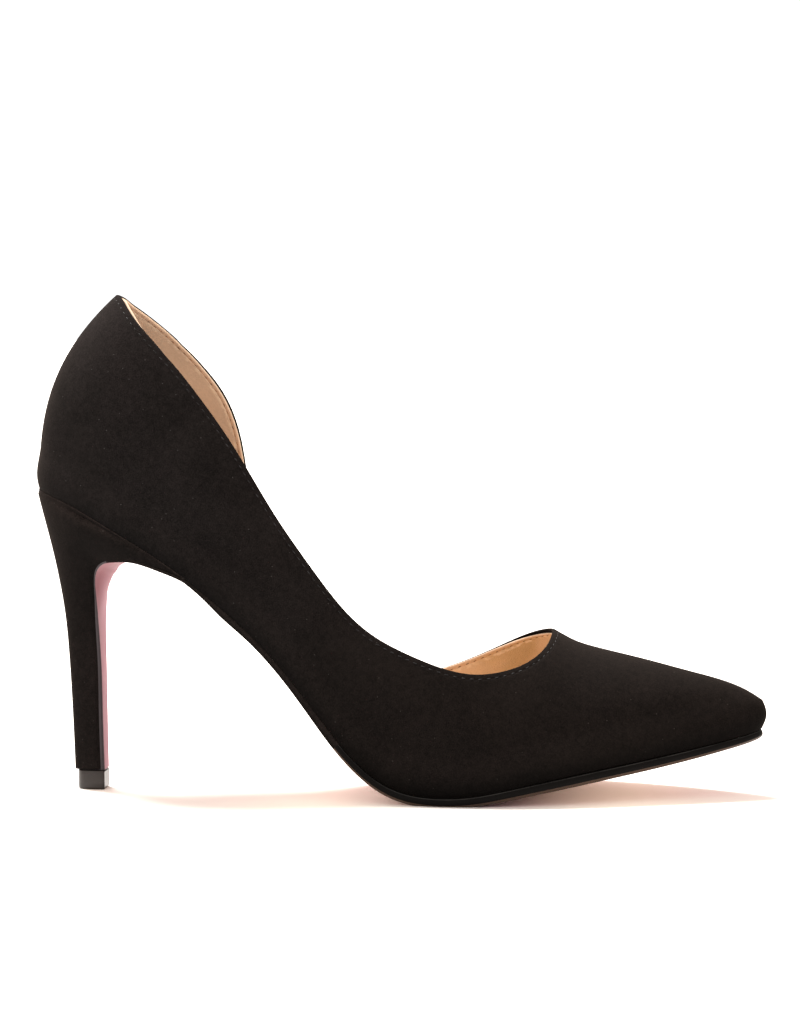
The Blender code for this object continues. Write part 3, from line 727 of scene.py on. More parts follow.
class Nodes:
    """Short calls to add and join the nodes of a tree."""

    def __init__(self, tree):
        self.tree = tree

    def add(self, kind, inputs=None, **settings):
        node = self.tree.nodes.new(kind)
        for name, value in settings.items():
            setattr(node, name, value)
        return self.fill(node, inputs or {})

    def fill(self, node, inputs):
        """Join or set a node's inputs, by name or number. A colour gets its alpha here."""
        for name, value in inputs.items():
            socket = node.inputs[name]
            if isinstance(value, bpy.types.Node):
                value = value.outputs[0]
            if isinstance(value, bpy.types.NodeSocket):
                self.tree.links.new(value, socket)
            else:
                socket.default_value = (*value, 1.0) if socket.type == "RGBA" else value
        return node

    def math(self, operation, *values):
        return self.add("ShaderNodeMath", dict(enumerate(values)), operation=operation).outputs[0]

    def weigh(self, *pairs):
        """The sum of values times their weights."""
        total = 0.0
        for value, weight in pairs:
            total = self.math("MULTIPLY_ADD", value, weight, total)
        return total

    def apart(self, first, second):
        """The distance between two values."""
        return self.math("ABSOLUTE", self.math("SUBTRACT", first, second))

    def range(self, value, low, high, to_low=0.0, to_high=1.0):
        """A smooth step from one value to another."""
        sockets = {"Value": value, "From Min": low, "From Max": high, "To Min": to_low, "To Max": to_high}
        return self.add("ShaderNodeMapRange", sockets, interpolation_type="SMOOTHSTEP").outputs[0]

    def noise(self, vector, scale, detail=2.0, roughness=0.5, distortion=0.0):
        return self.add("ShaderNodeTexNoise", {
            "Vector": vector, "Scale": scale, "Detail": detail, "Roughness": roughness,
            "Distortion": distortion,
        }).outputs["Fac"]

    def mix(self, factor, first, second, blend="MIX"):
        sockets = {0: factor, 6: first, 7: second}
        return self.add("ShaderNodeMix", sockets, data_type="RGBA", blend_type=blend).outputs[2]

    def axis(self, vector, name):
        return self.add("ShaderNodeSeparateXYZ", {"Vector": vector}).outputs[name]

    def edge(self):
        """The distance from the topline in millimetres, which the piece holds."""
        return self.add("ShaderNodeAttribute", attribute_name="edge").outputs["Fac"]

    def bump(self, height):
        """A normal from a height in metres."""
        sockets = {"Height": height, "Distance": 1.0, "Strength": 1.0}
        return self.add("ShaderNodeBump", sockets).outputs["Normal"]


COLOUR = "NodeSocketColor"
VALUE = "NodeSocketFloat"
PLACE = "NodeSocketVector"


def new_group(name, inputs, outputs):
    """An empty shader group: its nodes, its input sockets and its output node."""
    tree = bpy.data.node_groups.new(name, "ShaderNodeTree")
    for way, sockets in (("INPUT", inputs), ("OUTPUT", outputs)):
        for socket, kind in sockets.items():
            tree.interface.new_socket(socket, in_out=way, socket_type=kind)
    nodes = Nodes(tree)
    return nodes, nodes.add("NodeGroupInput").outputs, nodes.add("NodeGroupOutput")


TUFT_SCALE = 0.22
LINT_SCALE = 400.0
LINT_RADIUS = 0.060
LINT_COVER = 0.7


def nap_group():
    """Suede nap: a mottled colour, a fibre height and a roughness, with a few specks of lint."""
    name = "suede_nap"
    if name in bpy.data.node_groups:
        return bpy.data.node_groups[name]
    nodes, inp, out = new_group(name, {
        "Place": PLACE, "Laid": COLOUR, "Raised": COLOUR, "Lint": COLOUR,
        "Fibre scale": VALUE, "Brush scale": VALUE, "Lint share": VALUE,
    }, {"Color": COLOUR, "Height": VALUE, "Roughness": VALUE})
    place = inp["Place"]
    fibre = nodes.noise(place, inp["Fibre scale"], 3.0, 0.65)
    tuft = nodes.noise(place, nodes.math("MULTIPLY", inp["Fibre scale"], TUFT_SCALE), 3.0, 0.6)
    brush = nodes.noise(place, inp["Brush scale"], 3.0, 0.55, 0.6)
    raised = nodes.range(nodes.weigh((fibre, 0.56), (tuft, 0.26), (brush, 0.22)), 0.32, 0.72)
    cells = nodes.add("ShaderNodeTexVoronoi", {"Vector": place, "Scale": LINT_SCALE}, feature="F1").outputs
    cell_number = nodes.add("ShaderNodeSeparateColor", {"Color": cells["Color"]})
    picked = nodes.math("LESS_THAN", cell_number, inp["Lint share"])
    speck = nodes.math("LESS_THAN", cells["Distance"], LINT_RADIUS)
    lint = nodes.math("MULTIPLY", nodes.math("MULTIPLY", picked, speck), LINT_COVER)
    nodes.fill(out, {
        "Color": nodes.mix(lint, nodes.mix(raised, inp["Laid"], inp["Raised"]), inp["Lint"]),
        "Height": nodes.weigh((fibre, 0.6), (tuft, 0.4)),
        "Roughness": nodes.range(raised, 0.0, 1.0, 0.86, 0.98),
    })
    return nodes.tree


GRAIN_FINENESS = 2.5
GRAIN_TONE_SCALE = 70.0


def grain_group():
    """Fine leather grain: small cells with creases between them, and a slow change of tone."""
    name = "leather_grain"
    if name in bpy.data.node_groups:
        return bpy.data.node_groups[name]
    nodes, inp, out = new_group(
        name, {"Place": PLACE, "Dark": COLOUR, "Light": COLOUR, "Scale": VALUE},
        {"Color": COLOUR, "Height": VALUE, "Tone": VALUE},
    )
    place = inp["Place"]
    cells = nodes.add("ShaderNodeTexVoronoi", {"Vector": place, "Scale": inp["Scale"]},
                      feature="DISTANCE_TO_EDGE").outputs
    pebble = nodes.range(cells["Distance"], 0.0, 0.35)
    fine = nodes.noise(place, nodes.math("MULTIPLY", inp["Scale"], GRAIN_FINENESS))
    slow = nodes.noise(place, GRAIN_TONE_SCALE, detail=3.0, distortion=0.3)
    tone = nodes.weigh((fine, 0.25), (slow, 0.75))
    nodes.fill(out, {
        "Color": nodes.mix(nodes.range(tone, 0.25, 0.75), inp["Dark"], inp["Light"]),
        "Height": nodes.weigh((fine, 0.35), (pebble, 0.65)),
        "Tone": tone,
    })
    return nodes.tree


def new_material(name):
    """A node material with its Principled shader and Object coordinates."""
    material = bpy.data.materials.new(name)
    material.use_nodes = True
    nodes = Nodes(material.node_tree)
    shader = material.node_tree.nodes["Principled BSDF"]
    return material, nodes, shader, nodes.add("ShaderNodeTexCoord").outputs["Object"]


def scaled(colour, gain):
    return [min(1.0, channel * gain) for channel in colour]


# The suede's painted shade below and light above, painted light at the back and shade at the front, and its
# relief
PAINTED_UNDER_SHADE = (0.30, 0.30, 0.30)
PAINTED_TOP_LIGHT = (1.18, 1.08, 1.04)
PAINTED_FACING_RANGE = (-0.6, 0.75)
PAINTED_BACK_LIGHT = (1.22, 1.32, 1.38)
PAINTED_FRONT_SHADE = (0.80, 0.80, 0.77)
PAINTED_LIGHT_X = (-0.10, 0.03)
LINT = (0.055, 0.054, 0.053)
LINT_SHARE = 0.5
FIBRE_SCALE = 2600.0
BRUSH_SCALE = 45.0
FIBRE_RELIEF = 0.00016
TROUGH_RELIEF = 0.00016
TROUGH_HALF = 0.7


def suede_material(name, colours, edge_distance=None, gain=1.0, painted_light_along=False):
    """Black suede with a brownish sheen, and along a topline a trough where the stitches pull it in."""
    material, nodes, shader, place = new_material(name)
    nap = nodes.add("ShaderNodeGroup", {
        "Place": place, "Laid": scaled(colours.suede, gain), "Raised": scaled(colours.suede_raised, gain),
        "Lint": LINT, "Fibre scale": FIBRE_SCALE, "Brush scale": BRUSH_SCALE, "Lint share": LINT_SHARE,
    }, node_tree=nap_group()).outputs
    # Painted light and shade: the suede is made lighter where it faces up and darker where it faces down
    facing = nodes.axis(nodes.add("ShaderNodeNewGeometry").outputs["Normal"], "Z")
    tone = nodes.mix(nodes.range(facing, *PAINTED_FACING_RANGE), PAINTED_UNDER_SHADE, PAINTED_TOP_LIGHT)
    # Painted light at the back of the shoe and painted shade towards the toe, along its length
    if painted_light_along:
        shade = nodes.mix(nodes.range(nodes.axis(place, "X"), *PAINTED_LIGHT_X), PAINTED_BACK_LIGHT, PAINTED_FRONT_SHADE)
        tone = nodes.mix(1.0, tone, shade, "MULTIPLY")
    height = nodes.math("MULTIPLY", nap["Height"], FIBRE_RELIEF)
    if edge_distance is not None:
        off = nodes.apart(nodes.edge(), edge_distance / MM)
        height = nodes.math("ADD", height, nodes.range(off, 0.0, TROUGH_HALF, -TROUGH_RELIEF, 0.0))
    nodes.fill(shader, {
        "Base Color": nodes.mix(1.0, nap["Color"], tone, "MULTIPLY"),
        "Roughness": nap["Roughness"],
        "Specular IOR Level": 0.03,
        "Sheen Weight": 0.03,
        "Sheen Roughness": 0.42,
        "Sheen Tint": (0.62, 0.44, 0.35),
        "Normal": nodes.bump(height),
    })
    return material


# Where the heel grip ends and is painted lighter, the lining's tones with painted light and shade, and its
# relief
GRIP_END_X = (-0.0305, -0.0300)
GRIP_SEAM_X = -0.0302
GRIP_LIT_Z = (0.100, 0.118)
GRIP_PEAK_Z = (0.126, 0.147)
GRIP_FIBRE_SCALE = 1500.0
LINING_SCALE = 1300.0
PALE_SCALE = 42.0
PUCKER_SCALE = 520.0
PALE_LINING = (0.74, 0.55, 0.38)
LIT_GRIP = (0.68, 0.50, 0.36)
PUCKER_HIGHLIGHT = (0.84, 0.68, 0.50)
PEAK_SHADE = (0.24, 0.16, 0.11)
RAW_EDGE = (0.68, 0.51, 0.37)
STRIP_HALF = 0.1
PUCKER_BELOW = 0.75
LINING_RELIEF = 0.00009
ROW_RELIEF = 0.00010
ROW_HALF = 0.55
SEAM_RELIEF = 0.00018
SEAM_HALF = 0.0007


def lining_material(colours, edge_distance):
    """Smooth lining in the vamp, napped grip in the counter, and a darker strip along the stitched edge."""
    material, nodes, shader, place = new_material("lining_leather")
    row = edge_distance / MM
    along = nodes.axis(place, "X")
    high = nodes.axis(place, "Z")
    edge = nodes.edge()
    grain = nodes.add("ShaderNodeGroup", {
        "Place": place, "Dark": scaled(colours.lining, 0.86), "Light": scaled(colours.lining, 1.1),
        "Scale": LINING_SCALE,
    }, node_tree=grain_group()).outputs
    grip = nodes.add("ShaderNodeGroup", {
        "Place": place, "Laid": scaled(colours.heel_grip, 0.80), "Raised": scaled(colours.heel_grip, 1.18),
        "Lint": scaled(colours.heel_grip, 1.3), "Fibre scale": GRIP_FIBRE_SCALE,
        "Brush scale": BRUSH_SCALE, "Lint share": 0.0,
    }, node_tree=nap_group()).outputs
    in_vamp = nodes.range(along, *GRIP_END_X)
    pale = nodes.range(nodes.noise(place, PALE_SCALE, distortion=0.4), 0.42, 0.68, 0.0, 0.75)
    smooth = nodes.mix(pale, grain["Color"], PALE_LINING)
    # Painted light: the heel grip is made lighter above a height inside the counter
    lit_grip = nodes.mix(nodes.range(high, *GRIP_LIT_Z, 0.0, 0.5), grip["Color"], LIT_GRIP)
    strip = nodes.range(edge, row - STRIP_HALF, row + STRIP_HALF, 0.30, 0.0)
    # Painted highlights: pale patches just below the stitch row stand in for light on the puckers
    below = nodes.range(nodes.apart(edge, row + PUCKER_BELOW), 0.1, 0.9, 1.0, 0.0)
    puckers = nodes.range(nodes.noise(place, PUCKER_SCALE, 1.0), 0.40, 0.62, 0.0, 0.6)
    pucker = nodes.math("MULTIPLY", below, puckers)
    colour = nodes.mix(in_vamp, lit_grip, smooth)
    for share, tone in (
            (strip, scaled(colours.lining_thread, 2.6)), (pucker, PUCKER_HIGHLIGHT),
            (nodes.range(high, *GRIP_PEAK_Z, 0.0, 0.6), PEAK_SHADE),
            (nodes.range(edge, 0.1, 0.4, 1.0, 0.0), RAW_EDGE)):
        colour = nodes.mix(share, colour, tone)
    height = nodes.math("MULTIPLY", nodes.mix(in_vamp, grip["Height"], grain["Height"]), LINING_RELIEF)
    for off, half, relief in (
            (nodes.apart(edge, row), ROW_HALF, ROW_RELIEF),
            (nodes.apart(along, GRIP_SEAM_X), SEAM_HALF, SEAM_RELIEF)):
        height = nodes.math("ADD", height, nodes.range(off, 0.0, half, -relief, 0.0))
    nodes.fill(shader, {
        "Base Color": colour,
        "Roughness": nodes.range(in_vamp, 0.0, 1.0, 0.85, 0.42),
        "Specular IOR Level": 0.35,
        "Normal": nodes.bump(height),
    })
    return material


# Where a painted shade darkens the lateral side of the breast, and how far the gloss follows the grain
ROSE_SHADE_Y = (-0.012, 0.006)
ROSE_SHADE_X = (-0.078, -0.055)
GLOSS_SPREAD = 0.06


def leather_material(name, colour, roughness, specular=0.4, scale=900.0, depth=0.02, spread=(0.86, 1.10),
                     shaded=None):
    """A grained leather or synthetic in one colour, with its roughness following the tone."""
    material, nodes, shader, place = new_material(name)
    grain = nodes.add("ShaderNodeGroup", {
        "Place": place, "Dark": scaled(colour, spread[0]), "Light": scaled(colour, spread[1]),
        "Scale": scale,
    }, node_tree=grain_group()).outputs
    shown = grain["Color"]
    # Painted shade: the rose is made darker towards the lateral side of the breast
    if shaded is not None:
        lateral = nodes.range(nodes.axis(place, "Y"), *ROSE_SHADE_Y, 1.0, 0.0)
        breast = nodes.range(nodes.axis(place, "X"), *ROSE_SHADE_X, 1.0, 0.0)
        shown = nodes.mix(nodes.math("MULTIPLY", lateral, breast), shown, shaded)
    gloss = (roughness + GLOSS_SPREAD, roughness - GLOSS_SPREAD)
    nodes.fill(shader, {
        "Base Color": shown,
        "Roughness": nodes.range(grain["Tone"], 0.2, 0.8, *gloss),
        "Specular IOR Level": specular,
        "Normal": nodes.bump(nodes.math("MULTIPLY", grain["Height"], depth * MM)),
    })
    return material


# Thread: some stitches are made lighter at random, and lighter still at the back, as painted glints
TWIST_SCALE = 5200.0
STITCH_SCALE = 420.0
THREAD_FADE_X = (-0.05, 0.02)
THREAD_RELIEF = 0.00006
BACK_GLINT_GAIN = 4.6
PLAIN_GAIN = 1.7


def thread_material(name, colour, back_gain):
    """Twisted thread with a slight gloss, whose lighter stitches are painted glints with their own gain at
    the back.
    """
    material, nodes, shader, place = new_material(name)
    twist = nodes.noise(place, TWIST_SCALE, 1.0)
    other = nodes.range(nodes.noise(place, STITCH_SCALE, 0.0), 0.42, 0.66)
    blend = nodes.weigh((twist, 0.4), (other, 0.6))
    along = nodes.range(nodes.axis(place, "X"), *THREAD_FADE_X)
    light = nodes.mix(along, scaled(colour, back_gain), scaled(colour, 1.5))
    nodes.fill(shader, {
        "Base Color": nodes.mix(blend, scaled(colour, 0.45), light),
        "Roughness": nodes.range(blend, 0.2, 0.8, 0.50, 0.26),
        "Specular IOR Level": 0.18,
        "Normal": nodes.bump(nodes.math("MULTIPLY", twist, THREAD_RELIEF)),
    })
    return material


SHEETS = {}


def shared_sheet(sizes):
    """The upper's sheet, which the suede, the lining and the stitches are all made from."""
    key = (sizes.length, sizes.ball_width, sizes.instep_height, sizes.heel_height)
    if key not in SHEETS:
        SHEETS[key] = upper_sheet(Last(sizes))
    return SHEETS[key]


class PUMP_OT_suede(bpy.types.Operator):
    """Add the suede upper with its folded topline"""

    bl_idname = "pump.suede"
    bl_label = "Suede upper"

    def execute(self, context):
        scene = context.scene
        sizes = scene.pump_sizes
        sheet = shared_sheet(sizes)
        no_drop = np.zeros(len(sheet.points))
        points, faces, edge = wall_between(sheet, 0.0, sizes.suede_thick / MM, no_drop)
        row_place = scene.pump_stitches.edge_distance
        suede = suede_material("black_suede", scene.pump_colours, row_place, painted_light_along=True)
        piece = add_piece("suede_upper", points, faces, [suede], "upper")
        add_attribute(piece.data, "edge", edge)
        return {"FINISHED"}


def lining_drop(points, sizes):
    """How far the lining's edge lies below the fold. It stands up at the medial vamp and the collar."""
    x, y, z = points.T
    drop = sizes.lining_drop / MM
    near_throat = np.clip(1.0 - (THROAT_X - x) / THROAT_RUN, 0.0, 1.0) ** 2
    vamp = (y > 0.0) & (x > VAMP_END_X - LINING_MARGIN)
    high = np.clip((z - COLLAR_LIFT_Z) / COLLAR_LIFT_RISE, 0.0, 1.0)
    collar = high * np.clip((x - COLLAR_LIFT_X) / COLLAR_LIFT_RUN, 0.0, 1.0) * (y < 0.0)
    base = np.where(vamp, -drop, drop) - COLLAR_LIFT * collar
    return base + (sizes.throat_drop / MM - base) * near_throat


class PUMP_OT_lining(bpy.types.Operator):
    """Add the lining inside the suede"""

    bl_idname = "pump.lining"
    bl_label = "Lining"

    def execute(self, context):
        scene = context.scene
        sizes = scene.pump_sizes
        sheet = shared_sheet(sizes)
        depth = sizes.suede_thick / MM + LAYER_GAP
        drop = lining_drop(sheet.points, sizes)
        points, faces, edge = wall_between(sheet, depth, sizes.lining_thick / MM, drop)
        row_place = scene.pump_stitches.lining_distance + sizes.lining_drop
        lining = lining_material(scene.pump_colours, row_place)
        piece = add_piece("lining", points, faces, [lining])
        add_attribute(piece.data, "edge", edge)
        return {"FINISHED"}


UNEVEN_SLANT = (0.7, 1.3)
STITCH_BALL = {"Segments": 10, "Rings": 6, "Radius": 0.5}


def stitch_tree():
    """Geometry nodes that set stitches along a path, standing on the path's up directions."""
    tree = bpy.data.node_groups.new("stitch_row", "GeometryNodeTree")
    kinds = {
        "Geometry": "NodeSocketGeometry", "Pitch": VALUE, "Length": VALUE, "Thread": VALUE, "Slant": VALUE,
        "Seed": "NodeSocketInt", "Material": "NodeSocketMaterial",
    }
    sockets = {}
    for name, kind in kinds.items():
        sockets[name] = tree.interface.new_socket(name, in_out="INPUT", socket_type=kind).identifier
    tree.interface.new_socket("Geometry", in_out="OUTPUT", socket_type="NodeSocketGeometry")
    nodes = Nodes(tree)
    inp = nodes.add("NodeGroupInput").outputs
    curve = nodes.add("GeometryNodeMeshToCurve", {"Mesh": inp["Geometry"]})
    row = nodes.add("GeometryNodeResampleCurve", {"Curve": curve, "Length": inp["Pitch"]}, mode="LENGTH")
    up = nodes.add("GeometryNodeInputNamedAttribute", {"Name": "up"}, data_type="FLOAT_VECTOR")
    tangent = nodes.add("GeometryNodeInputTangent")
    along = nodes.add("FunctionNodeAlignRotationToVector", {"Vector": tangent}, axis="X")
    stood = nodes.add("FunctionNodeAlignRotationToVector", {"Rotation": along, "Vector": up},
                      axis="Z", pivot_axis="X")
    low, high = UNEVEN_SLANT
    uneven = nodes.add("FunctionNodeRandomValue", {2: low, 3: high, "Seed": inp["Seed"]}, data_type="FLOAT")
    angle = nodes.math("MULTIPLY", uneven.outputs[1], inp["Slant"])
    turn = nodes.add("FunctionNodeAxisAngleToRotation", {"Axis": (0.0, 0.0, 1.0), "Angle": angle})
    slanted = nodes.add("FunctionNodeRotateRotation", {"Rotation": stood, "Rotate By": turn},
                        rotation_space="LOCAL")
    ball = nodes.add("GeometryNodeMeshUVSphere", STITCH_BALL)
    size = nodes.add("ShaderNodeCombineXYZ", {"X": inp["Length"], "Y": inp["Thread"], "Z": inp["Thread"]})
    stitch = nodes.add("GeometryNodeTransform", {"Geometry": ball, "Scale": size})
    placed = nodes.add("GeometryNodeInstanceOnPoints",
                       {"Points": row, "Instance": stitch, "Rotation": slanted})
    real = nodes.add("GeometryNodeRealizeInstances", {"Geometry": placed})
    smooth = nodes.add("GeometryNodeSetShadeSmooth", {"Geometry": real})
    finished = nodes.add("GeometryNodeSetMaterial", {"Geometry": smooth, "Material": inp["Material"]})
    nodes.add("NodeGroupOutput", {"Geometry": finished})
    return tree, sockets


def stitch_path(sheet, depth, drops, inward):
    """Points and up directions a drop below the topline, on the outer or the inner face, and their edges."""
    surface = BVHTree.FromPolygons([Vector(point) for point in sheet.points], sheet.faces)
    line = resampled(sheet.topline, STITCH_PATH_STEP)
    along = unit(np.gradient(line, axis=0))
    points = []
    ups = []
    for point, direction, drop in zip(line, along, drops(line)):
        normal = np.array(surface.find_nearest(Vector(point))[1])
        below = point + drop * unit(np.cross(normal, direction))
        near, normal, _, _ = surface.find_nearest(Vector(below))
        up = -normal if inward else normal
        points.append(np.array(near - normal * depth - up * STITCH_SINK))
        ups.append(np.array(up))
    clear = np.linalg.norm(line - line[line[:, 0].argmax()], axis=1) > THROAT_CLEAR * inward
    edges = [(i, i + 1) for i in range(len(line) - 1) if clear[i] and clear[i + 1]]
    return np.array(points), np.array(ups), edges


class PUMP_OT_stitches(bpy.types.Operator):
    """Add the stitch row that shows on the suede and inside on the lining"""

    bl_idname = "pump.stitches"
    bl_label = "Stitches"

    def execute(self, context):
        scene = context.scene
        sizes = scene.pump_sizes
        row = scene.pump_stitches
        colours = scene.pump_colours
        sheet = shared_sheet(sizes)
        inner = (sizes.suede_thick + sizes.lining_thick) / MM + LAYER_GAP
        tree, sockets = stitch_tree()

        def outer_drops(line):
            return np.full(len(line), row.edge_distance / MM)

        def inner_drops(line):
            return lining_drop(line, sizes) + row.lining_distance / MM

        outside = (0.0, outer_drops, False)
        inside = (inner, inner_drops, True)
        for name, path, length, slot, colour, back_gain in (
                ("topline_stitches", outside, row.stitch_length, "upper_suede", colours.thread, BACK_GLINT_GAIN),
                ("lining_stitches", inside, row.lining_length, "sock_leather", colours.lining_thread,
                 PLAIN_GAIN)):
            points, ups, edges = stitch_path(sheet, *path)
            mesh = drawn_mesh(name + "_path", points, edges, [])
            add_attribute(mesh, "up", ups, "FLOAT_VECTOR", "vector")
            guide = link_object(name + "_path", mesh)
            maker = guide.modifiers.new("stitches", "NODES")
            maker.node_group = tree
            inputs = {
                "Pitch": row.pitch, "Length": length, "Thread": row.thread, "Slant": row.slant,
                "Seed": row.seed, "Material": thread_material(name + "_thread", colour, back_gain),
            }
            for socket, value in inputs.items():
                maker[sockets[socket]] = value
            context.view_layer.update()
            graph = context.evaluated_depsgraph_get()
            made = bpy.data.meshes.new_from_object(guide.evaluated_get(graph))
            made.name = name
            bpy.data.objects.remove(guide)
            settle(link_object(name, made))
        return {"FINISHED"}


def open_share(x):
    """1 along the arch cut, where no wall stands on the medial side, and 0 clear of it."""
    into = x - CUT_X - CUT_SWEEP - OPEN_CUT_MARGIN
    left = VAMP_END_X - OPEN_VAMP_MARGIN - x
    return min(max(min(into, left) / OPEN_RUN, 0.0), 1.0)


class PUMP_OT_sock(bpy.types.Operator):
    """Add the sock on its insole, with a covered edge along the arch cut"""

    bl_idname = "pump.sock"
    bl_label = "Sock"

    def execute(self, context):
        last = Last(context.scene.pump_sizes)
        colours = context.scene.pump_colours
        places = round_heel(SOCK_HEEL_RINGS)[::-1] + [HEEL_AXIS_X]
        places += spaced(HEEL_AXIS_X, THROAT_X, SOCK_WAIST_RINGS)[:-1]
        places += spaced(last.length, THROAT_X, SOCK_TOE_RINGS, crowding=1.6)[::-1] + [last.length]
        points = []
        for x in places:
            open_inset = SOCK_INSET + (SOCK_OPEN_INSET - SOCK_INSET) * open_share(x)
            for side, edge_inset, turn in ((LATERAL, SOCK_INSET, 1), (MEDIAL, open_inset, -1)):
                y, out_x, out_y = last.outline(side, x)
                for draw, height in SOCK_SIDE[::turn]:
                    inset = edge_inset + draw
                    point_x = x - inset * out_x
                    points.append((point_x, y - inset * out_y, last.feather(point_x) + height))
        count = 2 * len(SOCK_SIDE)
        faces = ring_faces(len(places), count)
        finishes = [int(i % count in (0, count - 2)) for i in range(len(faces))]
        sock = leather_material("sock_leather", colours.sock, roughness=0.5, scale=1200.0, depth=0.06)
        cover = suede_material("suede_edge", colours)
        add_piece("sock", points, faces, [sock, cover], "insole", finishes, closed=True)
        return {"FINISHED"}


def waist_share(x):
    """1 in the waist, where the sole's edge lies flush under the upper, and 0 from the ball on."""
    return smooth_step((WAIST_COVER_X - x) / WAIST_RUN + 0.5)


Station = namedtuple("Station", "x z along edges thick stand_out flush finish crown")


def sole_stations(last):
    """Sections of the sole from the toe to the foot of the flap."""
    stations = []
    for x in toe_places(last) + spaced(THROAT_X, FLAP_FROM_X, WAIST_RINGS):
        slope = (last.feather(x + SLOPE_STEP) - last.feather(x - SLOPE_STEP)) / (2 * SLOPE_STEP)
        along = np.array([1.0, slope]) / math.hypot(1.0, slope)
        edges = {side: last.outline(side, x) for side in (LATERAL, MEDIAL)}
        finish = COVER if x < WAIST_COVER_X else EDGE_PAINT
        stations.append(Station(
            x, last.feather(x) - GAP, along, edges, last.sole_thick(x), last.sole_stand_out(x),
            waist_share(x), finish, 0.0,
        ))
    flap = Flap(last)
    wider = last.half_width(LATERAL, FLAP_FROM_X) - last.half_width(MEDIAL, FLAP_FROM_X)
    for place in spaced(0.0, flap.length, FLAP_RINGS):
        width = flap.half_width(place)
        more = wider * max(0.0, 1.0 - place / FLAP_EVEN_RUN) ** 2
        edges = {LATERAL: (-width - more, 0.0, -1.0), MEDIAL: (width, 0.0, 1.0)}
        finish = COVER if place < FLAP_COVER_RUN else FLAP_EDGE
        stations.append(Station(
            flap.x(place), flap.z(place), flap.ahead(place), edges, flap.thick(place),
            last.sole_stand_out(FLAP_FROM_X), 1.0, finish, flap.crown(place),
        ))
    return stations


def sole_ring(station):
    """A section of the sole: a flat top, a rounded side band, a bevel and a tread that may be crowned."""
    along_x, along_z = station.along
    bevel = min(1.0, station.thick / BEVEL_THICK)
    sides = []
    for side in (LATERAL, MEDIAL):
        y, out_along, out_y = station.edges[side]
        points = []
        for row in SOLE_BAND:
            groove = 1.0 - station.flush if row.depth < GROOVE_DEPTH else 1.0
            out = station.stand_out + row.out * bevel * groove
            down = row.depth * station.thick
            x = station.x + out * out_along * along_x + down * along_z
            z = station.z + out * out_along * along_z - down * along_x
            points.append((x, y + out * out_y, max(z, 0.0)))
        sides.append(points)
    left, right = (np.array(points[-1]) for points in sides)
    across = []
    for share in np.linspace(0.0, 1.0, TREAD_STEPS + 1)[1:-1]:
        bulge = station.crown * (1.0 - (2.0 * share - 1.0) ** 2)
        across.append(tuple(left + (right - left) * share + bulge * np.array([along_z, 0.0, -along_x])))
    return sides[0] + across + sides[1][::-1]


class PUMP_OT_sole(bpy.types.Operator):
    """Add the sole with its painted edge, its bevel and the rose tread and breast flap"""

    bl_idname = "pump.sole"
    bl_label = "Sole"

    def execute(self, context):
        colours = context.scene.pump_colours
        stations = sole_stations(Last(context.scene.pump_sizes))
        rings = [sole_ring(station) for station in stations]
        points = [point for ring in rings for point in ring]
        count = len(rings[0])
        faces = ring_faces(len(rings), count)
        band = [row.finish for row in SOLE_BAND[:-1]]
        around = band + [TREAD] * TREAD_STEPS + band[::-1] + [EDGE_PAINT]
        finishes = []
        for station in stations[1:]:
            plain = station.finish == EDGE_PAINT
            finishes += [finish if plain or finish == TREAD else station.finish for finish in around]
        faces.append(list(range(len(points) - count, len(points))))
        finishes.append(FLAP_EDGE)
        materials = {
            EDGE_PAINT: leather_material("sole_edge_paint", colours.edge_paint, roughness=0.40,
                                         specular=0.03),
            # Painted reflection: the bevel's brown stands in for the warm floor seen in it
            BEVEL: leather_material("sole_bevel", colours.bevel, roughness=0.40, specular=0.15),
            # Painted shade: the breast's rose is made darker towards its lateral side
            TREAD: leather_material("rose_sole", colours.rose, roughness=0.55, specular=0.12, scale=1500.0,
                                    spread=(0.95, 1.10), shaded=colours.shaded_rose),
            COVER: suede_material("suede_waist", colours, gain=1.5),
            FLAP_EDGE: leather_material("flap_edge", colours.flap_edge, roughness=0.5, specular=0.2),
            # Painted glint: a lighter, patchy line along the top edge of the sole's side
            EDGE_GLINT: leather_material("rubbed_edge", colours.rubbed_edge, roughness=0.4, specular=0.06,
                                     spread=(0.0, 2.0)),
        }
        in_order = [materials[finish] for finish in sorted(materials)]
        add_piece("sole", points, faces, in_order, "outsole", finishes, closed=True)
        return {"FINISHED"}


# Shares of the way from the breast to the back for the points of a heel ring, closer together at the back
HEEL_ALONG = np.sin(math.pi / 2 * np.linspace(0.0, 1.0, HEEL_SIDE_POINTS))


def stem_share(front):
    """Half-widths of the stem's D section, which has the share front of its width at the breast."""
    corner = np.minimum(1.0, front + STEM_CORNER * HEEL_ALONG)
    return corner * np.maximum(0.0, 1.0 - HEEL_ALONG ** STEM_POWER) ** (1 / STEM_ROUND)


def two_sides(x, z, lateral, medial):
    """A ring from breast to back on the lateral side and forward again on the medial."""
    sides = [np.stack([x, y, z], axis=1) for y in (-lateral, medial)]
    return np.concatenate([sides[0], sides[1][::-1]])


